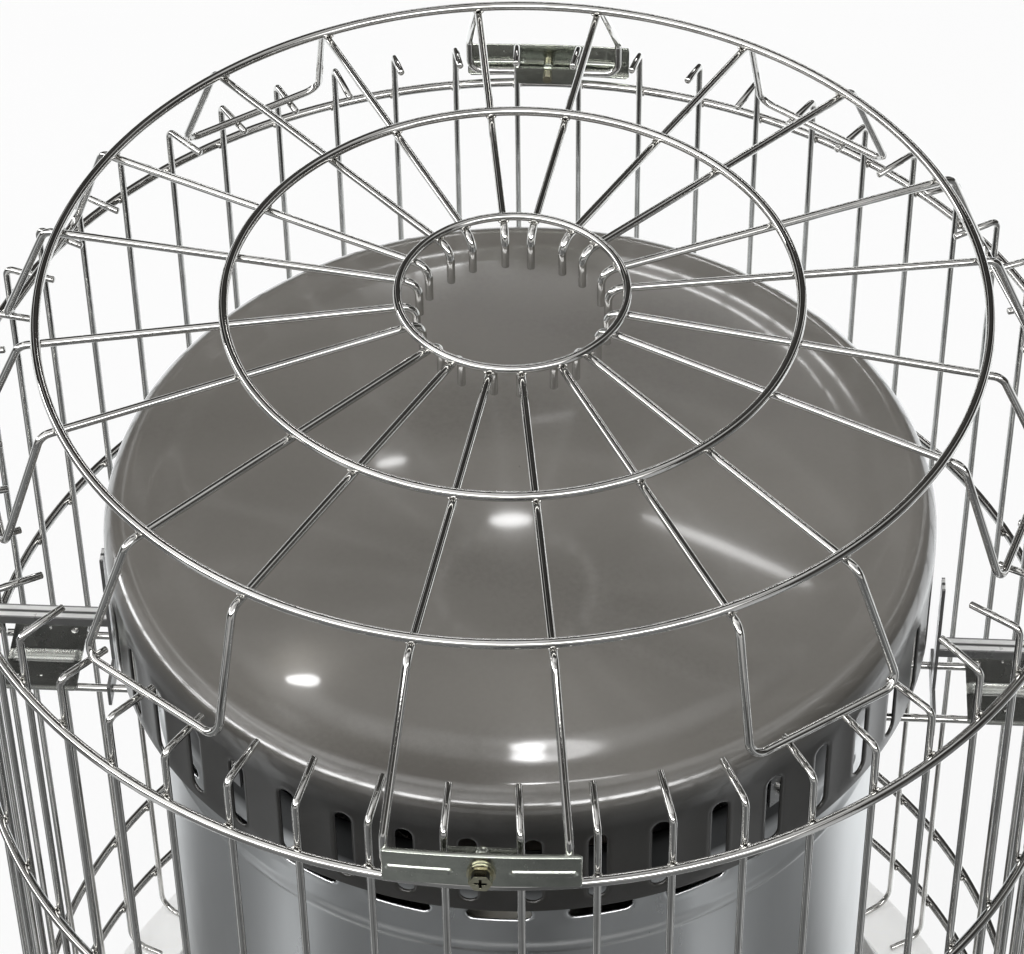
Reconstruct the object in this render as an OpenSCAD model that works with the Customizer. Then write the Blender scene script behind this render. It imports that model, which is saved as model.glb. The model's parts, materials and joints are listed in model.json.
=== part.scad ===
/* [Guard cage] */
// Centre radius of the hoops of the guard cage
guard_r = 239; // [232:1:250]
// Diameter of the hoop wire
hoop_d = 4.2; // [3.5:0.1:5]
// Diameter of the upright wires
upright_d = 3; // [2.5:0.1:3.6]
// Number of upright wires round the cage
upright_count = 52; // [44:4:56]
// Number of front uprights that stop above the control window
window_uprights = 8; // [6:2:8]
// Height of the top hoop
hoop_top_z = 502; // [495:1:510]
// Height of the shoulder hoop
hoop_shoulder_z = 359; // [352:1:366]
// Height of the hoop above the control window
hoop_low_z = 110; // [108:1:116]
// Height of the bottom hoop
hoop_bottom_z = 57; // [50:1:64]
// Height of the turned-in upper ends above the top hoop
stub_rise = 24; // [20:0.5:28]
// Radius of the inner ends of the turned-in upper ends
stub_end_r = 212; // [208:1:218]
// Radius of the inner ends of the turned-in feet
foot_end_r = 217; // [214:1:220]
// Inside bend of the upper ends
stub_bend = 5; // [4:0.5:7]
// Inside bend of the feet
foot_bend = 9; // [7:0.5:11]

/* [Top grille] */
// Height of the middle of the grille above the top hoop of the cage
grille_rise = 82.5; // [76:0.5:88]
// How much lower the radial wires lie at the outer hoop than at the hub
radial_fall = 2.6; // [0:0.2:4]
// Sideways place of the top guard on the cage
grille_shift = -2; // [-3:0.5:3]
// Diameter of the radial wires
radial_d = 3.4; // [3:0.1:3.8]
// Diameter of the outer and middle hoops
grille_hoop_d = 4; // [3.5:0.1:4.5]
// Diameter of the hub hoop wire
hub_hoop_d = 3.5; // [3:0.1:4]
// Centre radius of the outer hoop
grille_outer_r = 191.5; // [188:0.5:197]
// Centre radius of the middle hoop
grille_middle_r = 116.3; // [110:0.1:124]
// Centre radius of the hub hoop
grille_hub_r = 46.3; // [45:0.1:49]
// Number of looped wires, two radials each
loop_count = 10; // [8:2:10]
// Half the angle between the two radials of one looped wire
loop_half_angle = 7.8; // [7:0.2:8.4]
// Radius at which a radial turns down outside the outer hoop
knee_r = 198.5; // [196:0.5:204]
// Radius of the resting foot of a looped wire
loop_foot_r = 220; // [218:1:224]
// Half the width of the resting foot
loop_foot_half = 34.5; // [33:0.5:36]
// Radius of the turned-down inner ends
hub_end_r = 39; // [37:0.5:41]
// Drop of the turned-down inner ends
hub_end_drop = 17; // [14:0.5:20]
// Bend of the grille wires
loop_bend = 6; // [5:0.5:7]

/* [Clamps] */
// Length of the outer clamp plate
clamp_len = 74.5; // [72:0.5:80]
// Height of the outer clamp plate
clamp_h = 17; // [15:0.5:20]
// Height of the clamp's lower edge above the middle of the top hoop
clamp_rise = 3; // [2.5:0.1:5]
// How far the ends of the outer clamp plate bend back to follow the hoop
clamp_sag = 1.3; // [0.5:0.1:2]
// Thickness of the clamp plates
clamp_t = 1.2; // [1:0.1:1.5]
// Width of the inner clamp plate
clamp_inner_w = 29; // [27:0.5:31]
// Height of the inner clamp plate
clamp_inner_h = 9; // [8:0.5:11]
// Height of the clamp screw above the lower edge of the outer plate
clamp_screw_rise = 8; // [7:0.5:9]
// Thread diameter of the clamp screw
clamp_screw_d = 4; // [3.5:0.1:4.2]
// Diameter of the flange under the screw head
clamp_flange_d = 11; // [10:0.5:12]
// Length of the front clamp screw under its flange
clamp_screw_front = 11; // [10.5:0.5:16]
// Length of the back clamp screw under its flange
clamp_screw_back = 15.5; // [10.5:0.5:18]

/* [Top plate] */
// Radius of the skirt of the top plate
plate_r = 176.5; // [174:0.5:179]
// Height of the flat rim of the top plate
plate_z = 474; // [470:1:478]
// Sheet thickness of the top plate
plate_t = 1; // [0.8:0.1:1.4]
// Depth of the skirt below the rim
skirt_depth = 66; // [62:1:68]
// Rounding between the rim and the skirt
plate_round = 12; // [10:0.5:14]
// Radius of the raised step in the top
step_r = 150; // [140:1:156]
// Height of the raised step
step_h = 2.5; // [1.5:0.5:3.5]
// Half the width of the slope of the step
step_run = 8; // [3:0.5:9]
// Rise of the dome from the step to the centre
dome_h = 9; // [5:0.5:12]
// Number of slots in the skirt
skirt_slots = 43; // [40:1:44]
// Width of a skirt slot
skirt_slot_w = 6.2; // [5:0.2:7]
// Length of a skirt slot
skirt_slot_h = 32; // [28:1:34]
// Distance of the slots from the lower edge of the skirt
skirt_slot_margin = 9; // [7:0.5:11]
// Turn of the first skirt slot from the front
skirt_slot_turn = 4.9; // [0:0.1:8]

/* [Casing] */
// Outer radius of the polished casing
casing_r = 160.5; // [158:0.5:162]
// Sheet thickness of the casing
casing_t = 0.8; // [0.6:0.1:1]
// Height of the upper edge of the casing
casing_top_z = 427; // [422:1:432]
// Number of vent slots round the casing
casing_slots = 24; // [20:2:26]
// Length of a vent slot
casing_slot_len = 27; // [24:1:30]
// Width of a vent slot
casing_slot_w = 6; // [5:0.5:7]
// Height of the row of vent slots
casing_slot_z = 386.5; // [382:0.5:390]
// Height of the raised bead
casing_bead_z = 365.5; // [360:0.5:370]
// Width of the view window in the casing
window_w = 92; // [80:1:104]
// Height of the view window in the casing
window_h = 104; // [90:1:116]
// Height of the centre of the view window
window_z = 236; // [226:1:246]

/* [Burner] */
// Outer radius of the chimney
chimney_r = 78; // [75:0.5:82]
// Height of the chimney
chimney_h = 196; // [180:1:210]
// Outer radius of the outer flame tube
flame_outer_r = 57; // [56:0.5:58.5]
// Outer radius of the inner flame tube
flame_inner_r = 38; // [36:0.5:40]
// Height of the flame tubes
flame_h = 112; // [100:1:124]
// Sheet thickness of the burner tubes
burner_t = 0.8; // [0.6:0.1:1]
// Width of the mica window in the chimney
mica_w = 52; // [44:1:56]
// Height of the mica window in the chimney
mica_h = 80; // [70:1:86]
// Height of the heat shield above the floor
shield_z = 114; // [113:0.5:116]

/* [Wick] */
// Outer radius of the air tube inside the wick
air_tube_r = 44; // [43:0.2:44.6]
// Wall of the wick tubes
wick_tube_t = 1.2; // [1:0.1:1.4]
// Thickness of the wick
wick_t = 2.8; // [2.4:0.1:3]
// Height of the top edge of the lowered wick
wick_low_z = 115; // [112:0.5:116]
// Lift of the wick
wick_lift = 10; // [8:0.5:10]
// Tooth module of the pinion
gear_module = 1; // [0.9:0.05:1.1]
// Number of teeth of the pinion
pinion_teeth = 12; // [10:1:13]

/* [Tank and tray] */
// Outer radius of the fuel tank
tank_r = 195; // [188:1:197]
// Height of the underside of the fuel tank
tank_z = 14; // [12:1:16]
// Height of the top deck of the fuel tank
deck_z = 66; // [62:1:68]
// Sheet thickness of the fuel tank
tank_t = 1.2; // [1:0.1:1.5]
// Outer radius of the base tray
tray_r = 236; // [234:0.5:237]
// Radius of the flat floor of the base tray
tray_floor_r = 198; // [194:1:200]
// Height of the shoulder of the base tray
tray_h = 29.4; // [27:0.2:31]
// Sheet thickness of the base tray
tray_t = 1.2; // [1:0.1:1.5]
// Outer radius of the filler neck
filler_r = 18; // [16:0.5:19]
// Distance of the filler neck from the centre
filler_at_r = 172; // [171:0.5:174]
// Bearing of the filler neck from the front
filler_turn = 52; // [46:1:60]

/* [Controls] */
// Half the width of the control housing
panel_half = 85; // [80:1:87]
// Distance from the tank's wall to the housing's front face
panel_gap = 19; // [16:0.5:20]
// Height of the top of the control housing
panel_top_z = 105; // [103:0.5:106]
// Height of the lower edge of the control housing
panel_low_z = 35; // [33:1:40]
// Sheet thickness of the housing
panel_t = 1.5; // [1.2:0.1:2]
// Depth of the housing behind its front face
panel_depth = 40; // [36:1:42]
// Height of the control shaft
shaft_z = 84; // [83:0.5:85]
// Diameter of the control shaft
shaft_d = 6; // [5:0.5:7]
// Diameter of the wick knob
knob_d = 40; // [36:1:41]
// Depth of the wick knob
knob_depth = 16; // [13:0.5:17]
// Diameter of the push buttons
button_d = 16; // [13:0.5:18]
// Distance of the push buttons from the knob's axis
button_x = 50; // [48:1:54]
// Travel of the ignition button
ignite_travel = 12; // [10:0.5:13]
// Travel of the put-out button
put_out_travel = 5; // [3:0.5:6]

/* [Side stays] */
// Height of the stay bars
stay_bar_z = 385; // [378:1:392]
// Radius of the upright strap of a stay
stay_strap_r = 181.5; // [181:0.5:184]
// Width of the stay bar
stay_w = 8; // [7:0.5:10]
// Diameter of the stay rods
stay_rod_d = 3.6; // [3:0.1:4]
// Distance of each stay rod from the middle of the stay
stay_rod_y = 15.8; // [14:0.1:16.5]
// Gap between the stay plate and the middle of the shoulder hoop
stay_plate_gap = 9; // [6:0.5:12]
// Distance from the face of the strap to the inner edge of the stay plate
stay_plate_inset = 15.5; // [14:0.5:18]
// Width of the stay plate
stay_plate_w = 40; // [38:0.5:42]

/* [Hidden] */

// Fineness of round shapes
round_fn = 96;
wire_fn = 32;
// Gap left for a weld between two wires, and between a piece and its seat
weld_gap = 0.05;
// Radial clearance of running fits
run_gap = 0.05;
// Clearance beside guided pieces
guide_gap = 0.5;
// How far a cutting shape reaches past the face that it cuts
over = 1;
// A bend is this much thicker than the wire, and the straight runs bite into it
bend_swell = 0.04;
bend_bite = 0.2;

// Front face of the control housing
panel_y = tank_r + panel_gap;

// Cage
upright_r = guard_r - hoop_d / 2 - upright_d / 2 - weld_gap;
upright_step = 360 / upright_count;
stub_z = hoop_top_z + stub_rise;
foot_z = tray_h + upright_d / 2 + weld_gap;
window_half_angle = upright_step * window_uprights / 2;
short_end_z = hoop_low_z - hoop_d / 2 - 1;
long_half = (upright_count - window_uprights) / 2;

// Top grille
grille_z = hoop_top_z + grille_rise;
radial_z = grille_z - grille_hoop_d / 2 - radial_d / 2 - weld_gap;
loop_foot_z = stub_z + upright_d / 2 + radial_d / 2 + weld_gap;
held_foot_z = hoop_top_z + 7;
held_foot_y = upright_r * cos(upright_step / 2) + upright_d / 2 + radial_d / 2 + weld_gap;
held_foot_half = loop_foot_half - 0.2;

// Side stays, whose rods end at the inner sides of two uprights
stay_rod_z = hoop_shoulder_z - hoop_d / 2 - stay_rod_d / 2 - weld_gap;
stay_plate_r = stay_strap_r + stay_plate_inset;
stay_plate_len = guard_r - stay_plate_gap - stay_plate_r;

// Clamps
clamp_z = hoop_top_z + clamp_rise;
clamp_y = held_foot_y + radial_d / 2 + weld_gap + clamp_sag;
clamp_bend_r = clamp_len * clamp_len / (8 * clamp_sag);
clamp_inner_y = upright_r * cos(upright_step / 2) - upright_d / 2 - weld_gap;
clamp_screw_z = clamp_z + clamp_screw_rise;
clamp_boss_d = clamp_screw_d + 2.4;
clamp_inner_z = clamp_screw_z + clamp_screw_d / 2 + 0.5 - clamp_inner_h;
clamp_head_h = 4.2;
clamp_flange_t = 1.1;

// Top plate
skirt_z = plate_z - skirt_depth;
skirt_slot_z = skirt_z + skirt_slot_margin + skirt_slot_h / 2;
plate_under_z = plate_z - plate_t;

// Burner
wick_tube_outer_in_r = air_tube_r + 5.6;
wick_tube_outer_r = wick_tube_outer_in_r + wick_tube_t;
shield_t = 1;
shield_rim_h = 7;
casing_z = shield_z + shield_t + weld_gap;
base_t = 3;
burner_z = shield_z + shield_t + base_t;
air_tube_top_z = burner_z + 1;
flame_z = burner_z + weld_gap;
flame_inner_z = air_tube_top_z + weld_gap;
flame_top_z = flame_z + flame_h;
spreader_z = flame_top_z + 0.3;
// Places along the igniter, and where the rods of the buttons are guided
igniter_x = -30;
igniter_rise_y = -112;
igniter_knee_y = -88;
igniter_z = burner_z + 6;
// Width of the openings that the igniter passes
igniter_way = 12;
guide_y = panel_y - 38;
guide_t = 1.5;
collar_t = 1.5;
collar_y = panel_y - panel_t - collar_t - 0.3;
coil_rest_y = -58;
coil_d = 4;

// Wick and gear
wick_in_r = air_tube_r + 0.4;
wick_out_r = wick_in_r + wick_t;
carrier_in_r = wick_out_r + weld_gap;
carrier_t = 1.3;
carrier_r = carrier_in_r + carrier_t;
carrier_low_z = deck_z - 4;
carrier_top_z = shaft_z + 14;
pitch_r = gear_module * pinion_teeth / 2;
tooth_pitch = PI * gear_module;
tooth_backlash = 0.35;
rack_face = 5;
pinion_y = 52.5;
pinion_w = 4.5;
rack_back = 4.5;
rack_low_z = shaft_z - wick_lift - 6;
rack_high_z = shaft_z + 8;
sleeve_flange_r = 60;
sleeve_flange_t = 1.5;
bracket_y = 62;
bracket_t = 1.6;
// Deck pieces
shaft_inner_y = pinion_y - 0.5;
knob_back_y = panel_y + 0.8;
button_back_gap = 0.8;
rod_d = 4;
float_at_r = tank_r - 20.74;
float_turn = 58.13;
float_x = -float_at_r * sin(float_turn);
float_y = -float_at_r * cos(float_turn);
float_r = 15;
float_h = 12;
float_travel = 30;
stem_d = 2.4;
sight_r = 6;
sight_t = 1;
stem_rise = 8;
sight_top_z = deck_z + stem_rise + float_travel + sight_t + 6;
filler_h = 20;
cap_r = filler_r + 4;
cap_gap = 0.3;
battery_half = 55;
battery_y = tank_r - 29;
battery_depth = 40;
battery_low_z = deck_z + weld_gap;
battery_top_z = deck_z + 32;
battery_t = 1.5;
cell_r = 13.1;
cell_len = 50;
lid_t = 1.5;
lid_pin_d = 3;
lid_pin_y = battery_y + battery_depth + 3;
lid_pin_z = battery_top_z - 3;
weight_x = 62;
weight_y = 118;
weight_pivot_z = 101;
weight_r = 9;
weight_h = 12;
weight_z = 72;
tip_leg_y = 11;
tip_pin_d = 3;
chrome = [0.72, 0.73, 0.74];
zinc = [0.78, 0.77, 0.73];
warm_grey = [0.46, 0.44, 0.41];
enamel = [0.93, 0.93, 0.91];
steel = [0.6, 0.6, 0.6];
dark = [0.16, 0.16, 0.17];
brass = [0.75, 0.66, 0.42];

// Direction and helpers for wires
function unit(v) = v / norm(v);
function on_ring(r, a, z) = [r * sin(a), -r * cos(a), z];

module straight_wire(p, q, d) {
    v = q - p;
    translate(p)
        rotate([0, acos(v.z / norm(v)), atan2(v.y, v.x)])
            cylinder(h = norm(v), d = d, $fn = wire_fn);
}

// Round bend of a wire at corner q, coming from p and going to r
module wire_bend(p, q, r, bend, d) {
    u = unit(p - q);
    w = unit(r - q);
    inner = acos(u * w);
    c = q + unit(u + w) * bend / sin(inner / 2);
    x = unit(q + u * bend / tan(inner / 2) - c);
    y = -u;
    z = cross(x, y);
    multmatrix([[x.x, y.x, z.x, c.x], [x.y, y.y, z.y, c.y], [x.z, y.z, z.z, c.z]])
        rotate_extrude(angle = 180 - inner, $fn = round_fn)
            translate([bend, 0])
                circle(d = d + bend_swell, $fn = wire_fn);
}

// Length that a round bend at corner q takes from each straight run, less the bite
function bend_cut(p, q, r, bend) =
    bend / tan(acos(unit(p - q) * unit(r - q)) / 2) - bend_bite;

// A bent wire through the corners in pts, with one bend radius for each inner corner
module bent_wire(pts, bends, d) {
    last = len(pts) - 1;
    for (i = [0 : last - 1]) {
        along = unit(pts[i + 1] - pts[i]);
        start = i == 0 ? 0 : bend_cut(pts[i - 1], pts[i], pts[i + 1], bends[i - 1]);
        stop = i == last - 1 ? 0 : bend_cut(pts[i], pts[i + 1], pts[i + 2], bends[i]);
        straight_wire(pts[i] + along * start, pts[i + 1] - along * stop, d);
    }
    for (i = [1 : 1 : last - 1])
        wire_bend(pts[i - 1], pts[i], pts[i + 1], bends[i - 1], d);
}

// The same bend radius for every inner corner of a wire
function same_bends(pts, bend) = [for (i = [2 : len(pts) - 1]) bend];

module hoop(r, z, d, gap_half = 0) {
    translate([0, 0, z])
        rotate([0, 0, -90 + gap_half])
            rotate_extrude(angle = 360 - 2 * gap_half, $fn = round_fn)
                translate([r, 0])
                    circle(d = d, $fn = wire_fn);
}

// Upright tube with a wall t
module tube(r, t, z, h) {
    translate([0, 0, z])
        difference() {
            cylinder(r = r, h = h, $fn = round_fn);
            translate([0, 0, -over])
                cylinder(r = r - t, h = h + 2 * over, $fn = round_fn);
        }
}

// Profile ring between two radii
module washer(r_in, r_out, z, h) {
    tube(r_out, r_out - r_in, z, h);
}

// Slot with round ends, cut along the radius, standing on end when tall is true
module radial_slot(r, z, w, h, tall, reach) {
    side = tall ? [0, (h - w) / 2] : [(h - w) / 2, 0];
    translate([0, -r, z])
        rotate([90, 0, 0]) {
            for (s = [-1, 1])
                translate([s * side.x, s * side.y, -reach])
                    cylinder(d = w, h = 2 * reach, $fn = wire_fn);
            translate([-side.x - (tall ? w / 2 : 0), -side.y - (tall ? 0 : w / 2), -reach])
                cube([2 * side.x + (tall ? w : 0), 2 * side.y + (tall ? 0 : w), 2 * reach]);
        }
}

// Base and fuel tank

module base_tray() {
    wall_top_r = tray_floor_r + 12;
    color(enamel)
        rotate_extrude($fn = round_fn)
            polygon([
                [0, 0], [tray_floor_r, 0],
                [wall_top_r + tray_t, tray_h - tray_t], [tray_r - tray_t, tray_h - tray_t],
                [tray_r - tray_t, tray_h - 10], [tray_r, tray_h - 10],
                [tray_r, tray_h], [wall_top_r, tray_h],
                [tray_floor_r - tray_t, tray_t], [0, tray_t]
            ]);
}

module tank_profile(r, low, high, inner, corner) {
    translate([inner, low])
        square([r - corner - inner, high - low]);
    translate([inner, low + corner])
        square([r - inner, high - low - 2 * corner]);
    for (z = [low + corner, high - corner])
        translate([r - corner, z])
            circle(r = corner, $fn = wire_fn);
}

module fuel_tank() {
    corner = 6;
    foot_r = 11;
    seam_z = (tank_z + deck_z) / 2;
    color(enamel)
        difference() {
            union() {
                rotate_extrude($fn = round_fn)
                    difference() {
                        tank_profile(tank_r, tank_z, deck_z, air_tube_r + weld_gap, corner);
                        tank_profile(tank_r - tank_t, tank_z + tank_t, deck_z - tank_t,
                            air_tube_r + weld_gap - over, corner - tank_t);
                    }
                washer(tank_r - tank_t / 2, tank_r + 3, seam_z - tank_t, 2 * tank_t);
                for (a = [45 : 90 : 315])
                    translate([165 * cos(a), 165 * sin(a), tray_t])
                        cylinder(r = foot_r, h = tank_z - tray_t + tank_t / 2, $fn = round_fn);
            }
            translate([0, 0, seam_z])
                cylinder(r = wick_tube_outer_r + weld_gap, h = deck_z, $fn = round_fn);
            translate(on_ring(filler_at_r, filler_turn, seam_z))
                cylinder(r = filler_r - 1.5, h = deck_z, $fn = round_fn);
            translate([float_x, float_y, seam_z])
                cylinder(r = stem_d / 2 + guide_gap, h = deck_z, $fn = round_fn);
        }
}

module filler_neck() {
    color(steel)
        translate(on_ring(filler_at_r, filler_turn, deck_z))
            difference() {
                union() {
                    cylinder(r = filler_r + 3, h = 1.2, $fn = round_fn);
                    cylinder(r = filler_r, h = filler_h, $fn = round_fn);
                }
                translate([0, 0, -over])
                    cylinder(r = filler_r - 1.5, h = filler_h + 2 * over, $fn = round_fn);
            }
}

module filler_cap() {
    grips = 12;
    color(dark)
        translate(on_ring(filler_at_r, filler_turn, deck_z + 1.2 + cap_gap))
            difference() {
                union() {
                    cylinder(r = cap_r, h = filler_h + 2.5, $fn = round_fn);
                    for (a = [0 : 360 / grips : 359])
                        rotate([0, 0, a])
                            translate([cap_r, 0, 3])
                                cylinder(d = 3, h = filler_h - 1, $fn = wire_fn);
                }
                translate([0, 0, -over])
                    cylinder(r = filler_r + cap_gap, h = filler_h + over, $fn = round_fn);
            }
}

module fuel_float() {
    low = tank_z + tank_t + 1;
    color([0.85, 0.3, 0.15])
        translate([float_x, float_y, low]) {
            cylinder(r = float_r, h = float_h, $fn = round_fn);
            cylinder(d = stem_d, h = deck_z + stem_rise - low, $fn = wire_fn);
        }
}

module sight_tube() {
    color([0.8, 0.9, 0.9, 0.4])
        translate([float_x, float_y, deck_z + weld_gap])
            difference() {
                union() {
                    cylinder(r = sight_r, h = sight_top_z - deck_z, $fn = round_fn);
                    cylinder(r = sight_r + 4, h = 3, $fn = round_fn);
                }
                translate([0, 0, -over])
                    cylinder(r = sight_r - sight_t, h = sight_top_z - deck_z - sight_t + over,
                        $fn = round_fn);
            }
}

// Wick and its lift

module wick_tube_inner() {
    color(steel)
        tube(air_tube_r, wick_tube_t, tank_z - 4, air_tube_top_z - tank_z + 4);
}

module wick_tube_outer() {
    window_low = deck_z + sleeve_flange_t + 0.5;
    color(steel)
        difference() {
            union() {
                tube(wick_tube_outer_r, wick_tube_t, tank_z + 16, shield_z - tank_z - 16 - weld_gap);
                washer(wick_tube_outer_r - 0.3, sleeve_flange_r, deck_z + weld_gap, sleeve_flange_t);
            }
            translate([-pitch_r - rack_back - 1, -wick_tube_outer_r - over, window_low])
                cube([rack_back + gear_module + 2, 8, rack_high_z + wick_lift + 2 - window_low]);
        }
}

module wick() {
    low = tank_z + tank_t + 3;
    color([0.92, 0.9, 0.84])
        tube(wick_out_r, wick_t, low, wick_low_z - low);
}

module wick_carrier() {
    teeth = floor((rack_high_z - rack_low_z) / tooth_pitch) + 2;
    tip_x = -pitch_r + gear_module;
    root_x = -pitch_r - 1.2 * gear_module;
    color(steel) {
        tube(carrier_r, carrier_t, carrier_low_z, carrier_top_z - carrier_low_z);
        translate([-pitch_r - rack_back, -carrier_r - rack_face - 3, rack_low_z])
            cube([root_x + pitch_r + rack_back, rack_face + 3.8, rack_high_z - rack_low_z]);
        intersection() {
            translate([root_x - 1, -carrier_r - rack_face - 3, rack_low_z])
                cube([4 * gear_module, rack_face + 3, rack_high_z - rack_low_z]);
            translate([0, -pinion_y - pinion_w + 0.2, shaft_z])
                rotate([90, 0, 0])
                    mirror([0, 0, 1])
                        linear_extrude(pinion_w)
                            for (i = [-teeth : teeth])
                                translate([0, i * tooth_pitch])
                                    rack_tooth(tip_x, root_x);
        }
    }
}

// One tooth of the rack, its middle at height 0
module rack_tooth(tip_x, root_x) {
    half = tooth_pitch / 4 - tooth_backlash / 2;
    slope = tan(20);
    polygon([
        [root_x - 0.2, half + slope * (-pitch_r - root_x)],
        [tip_x, half - slope * (tip_x + pitch_r)],
        [tip_x, -half + slope * (tip_x + pitch_r)],
        [root_x - 0.2, -half - slope * (-pitch_r - root_x)]
    ]);
}

module pinion() {
    root_r = pitch_r - 1.2 * gear_module;
    tip_r = pitch_r + 0.85 * gear_module;
    half_pitch_a = 90 / pinion_teeth - 3;
    color(brass)
        translate([0, -pinion_y, shaft_z])
            rotate([90, 0, 0])
                difference() {
                    union() {
                        cylinder(r = root_r, h = pinion_w, $fn = wire_fn);
                        linear_extrude(pinion_w)
                            for (i = [0 : pinion_teeth - 1])
                                rotate(360 / pinion_teeth * (i + 0.5))
                                    polygon([
                                        [root_r - 0.5, -root_r * tan(half_pitch_a + 3.4)],
                                        [root_r, -root_r * tan(half_pitch_a + 3)],
                                        [pitch_r, -pitch_r * tan(half_pitch_a)],
                                        [tip_r, -tip_r * tan(half_pitch_a - 3.6)],
                                        [tip_r, tip_r * tan(half_pitch_a - 3.6)],
                                        [pitch_r, pitch_r * tan(half_pitch_a)],
                                        [root_r, root_r * tan(half_pitch_a + 3)],
                                        [root_r - 0.5, root_r * tan(half_pitch_a + 3.4)]
                                    ]);
                    }
                    translate([0, 0, -over])
                        cylinder(d = shaft_d + 2 * weld_gap, h = pinion_w + 2 * over, $fn = wire_fn);
                }
}

module control_shaft() {
    color(steel)
        translate([0, -shaft_inner_y, shaft_z])
            rotate([90, 0, 0])
                cylinder(d = shaft_d, h = knob_back_y + knob_depth - 4 - shaft_inner_y, $fn = round_fn);
}

module shaft_bracket() {
    color(zinc)
        difference() {
            union() {
                translate([-13, -bracket_y - bracket_t, deck_z + weld_gap])
                    cube([26, bracket_t, shaft_z + 9 - deck_z]);
                translate([-13, -bracket_y - 14, deck_z + weld_gap])
                    cube([26, 14, bracket_t]);
            }
            translate([0, -bracket_y + over, shaft_z])
                rotate([90, 0, 0])
                    cylinder(d = shaft_d + 2 * run_gap, h = bracket_t + 2 * over, $fn = round_fn);
            for (x = [-8, 8])
                translate([x, -bracket_y - 9, deck_z - over])
                    cylinder(d = 3, h = 5, $fn = wire_fn);
        }
}

module shaft_bushing() {
    color(brass)
        translate([0, -panel_y, shaft_z])
            rotate([90, 0, 0])
                difference() {
                    union() {
                        translate([0, 0, -panel_t - 5])
                            cylinder(d = shaft_d + 4, h = panel_t + 5, $fn = round_fn);
                        translate([0, 0, -panel_t - 1.5 - weld_gap])
                            cylinder(d = shaft_d + 8, h = 1.5, $fn = round_fn);
                    }
                    translate([0, 0, -panel_t - 5 - over])
                        cylinder(d = shaft_d + 2 * run_gap, h = panel_t + 10, $fn = round_fn);
                }
}

module wick_knob() {
    ribs = 36;
    color(dark)
        translate([0, -knob_back_y, shaft_z])
            rotate([90, 0, 0])
                difference() {
                    union() {
                        cylinder(d = knob_d - 2, h = knob_depth - 3, $fn = round_fn);
                        cylinder(d1 = knob_d - 2, d2 = knob_d - 8, h = knob_depth, $fn = round_fn);
                        cylinder(d = knob_d, h = 2.5, $fn = round_fn);
                        for (i = [0 : ribs - 1])
                            rotate(360 / ribs * i)
                                translate([knob_d / 2 - 1, 0, 0])
                                    cylinder(d = 1.6, h = knob_depth - 3, $fn = 16);
                    }
                    translate([0, 0, -over])
                        cylinder(d = shaft_d + 2 * weld_gap, h = knob_depth - 4 + over + weld_gap,
                            $fn = round_fn);
                    translate([-1, knob_d / 2 - 12, knob_depth - 1])
                        cube([2, 8, 2]);
                }
}

// Control housing, buttons and igniter

module control_housing() {
    hole_d = rod_d + 2 * guide_gap;
    tab_w = 12;
    color(dark)
        difference() {
            union() {
                translate([-panel_half, -panel_y, panel_low_z])
                    cube([2 * panel_half, panel_t, panel_top_z - panel_low_z]);
                translate([-panel_half, -panel_y, panel_top_z - panel_t])
                    cube([2 * panel_half, panel_depth, panel_t]);
                for (x = [-panel_half, panel_half - panel_t])
                    translate([x, -panel_y, deck_z + weld_gap])
                        cube([panel_t, panel_depth, panel_top_z - deck_z - weld_gap]);
                for (s = [-1, 1])
                    translate([s * (panel_half - tab_w / 2) - tab_w / 2, -panel_y + panel_depth - tab_w,
                        deck_z + weld_gap])
                        cube([tab_w, tab_w, panel_t]);
            }
            translate([0, -panel_y + panel_t + over, shaft_z])
                rotate([90, 0, 0])
                    cylinder(d = shaft_d + 4 + 2 * weld_gap, h = panel_t + 2 * over, $fn = round_fn);
            for (x = [-button_x, button_x])
                translate([x, -panel_y + panel_t + over, shaft_z])
                    rotate([90, 0, 0])
                        cylinder(d = hole_d, h = panel_t + 2 * over, $fn = round_fn);
        }
}

// A round push button with a shallow dish in its face
module push_cap(travel) {
    rotate([90, 0, 0])
        translate([0, 0, travel + button_back_gap])
            difference() {
                union() {
                    cylinder(d = button_d, h = 5, $fn = round_fn);
                    cylinder(d1 = button_d, d2 = button_d - 1.6, h = 5.8, $fn = round_fn);
                }
                translate([0, 0, 5.2])
                    cylinder(d1 = button_d - 5, d2 = button_d - 4, h = over, $fn = round_fn);
            }
}

module ignition_button() {
    color([0.75, 0.12, 0.1])
        translate([-button_x, -panel_y, shaft_z])
            push_cap(ignite_travel);
}

module igniter_rod() {
    front_y = -panel_y - ignite_travel - button_back_gap;
    path = [
        [-button_x, front_y, shaft_z],
        [-button_x, igniter_rise_y, shaft_z],
        [-button_x, igniter_rise_y, igniter_z],
        [igniter_x, igniter_knee_y, igniter_z],
        [igniter_x, coil_rest_y - 5, igniter_z]
    ];
    color(steel) {
        bent_wire(path, same_bends(path, 5), rod_d);
        rod_collar(-button_x);
    }
}

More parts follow.
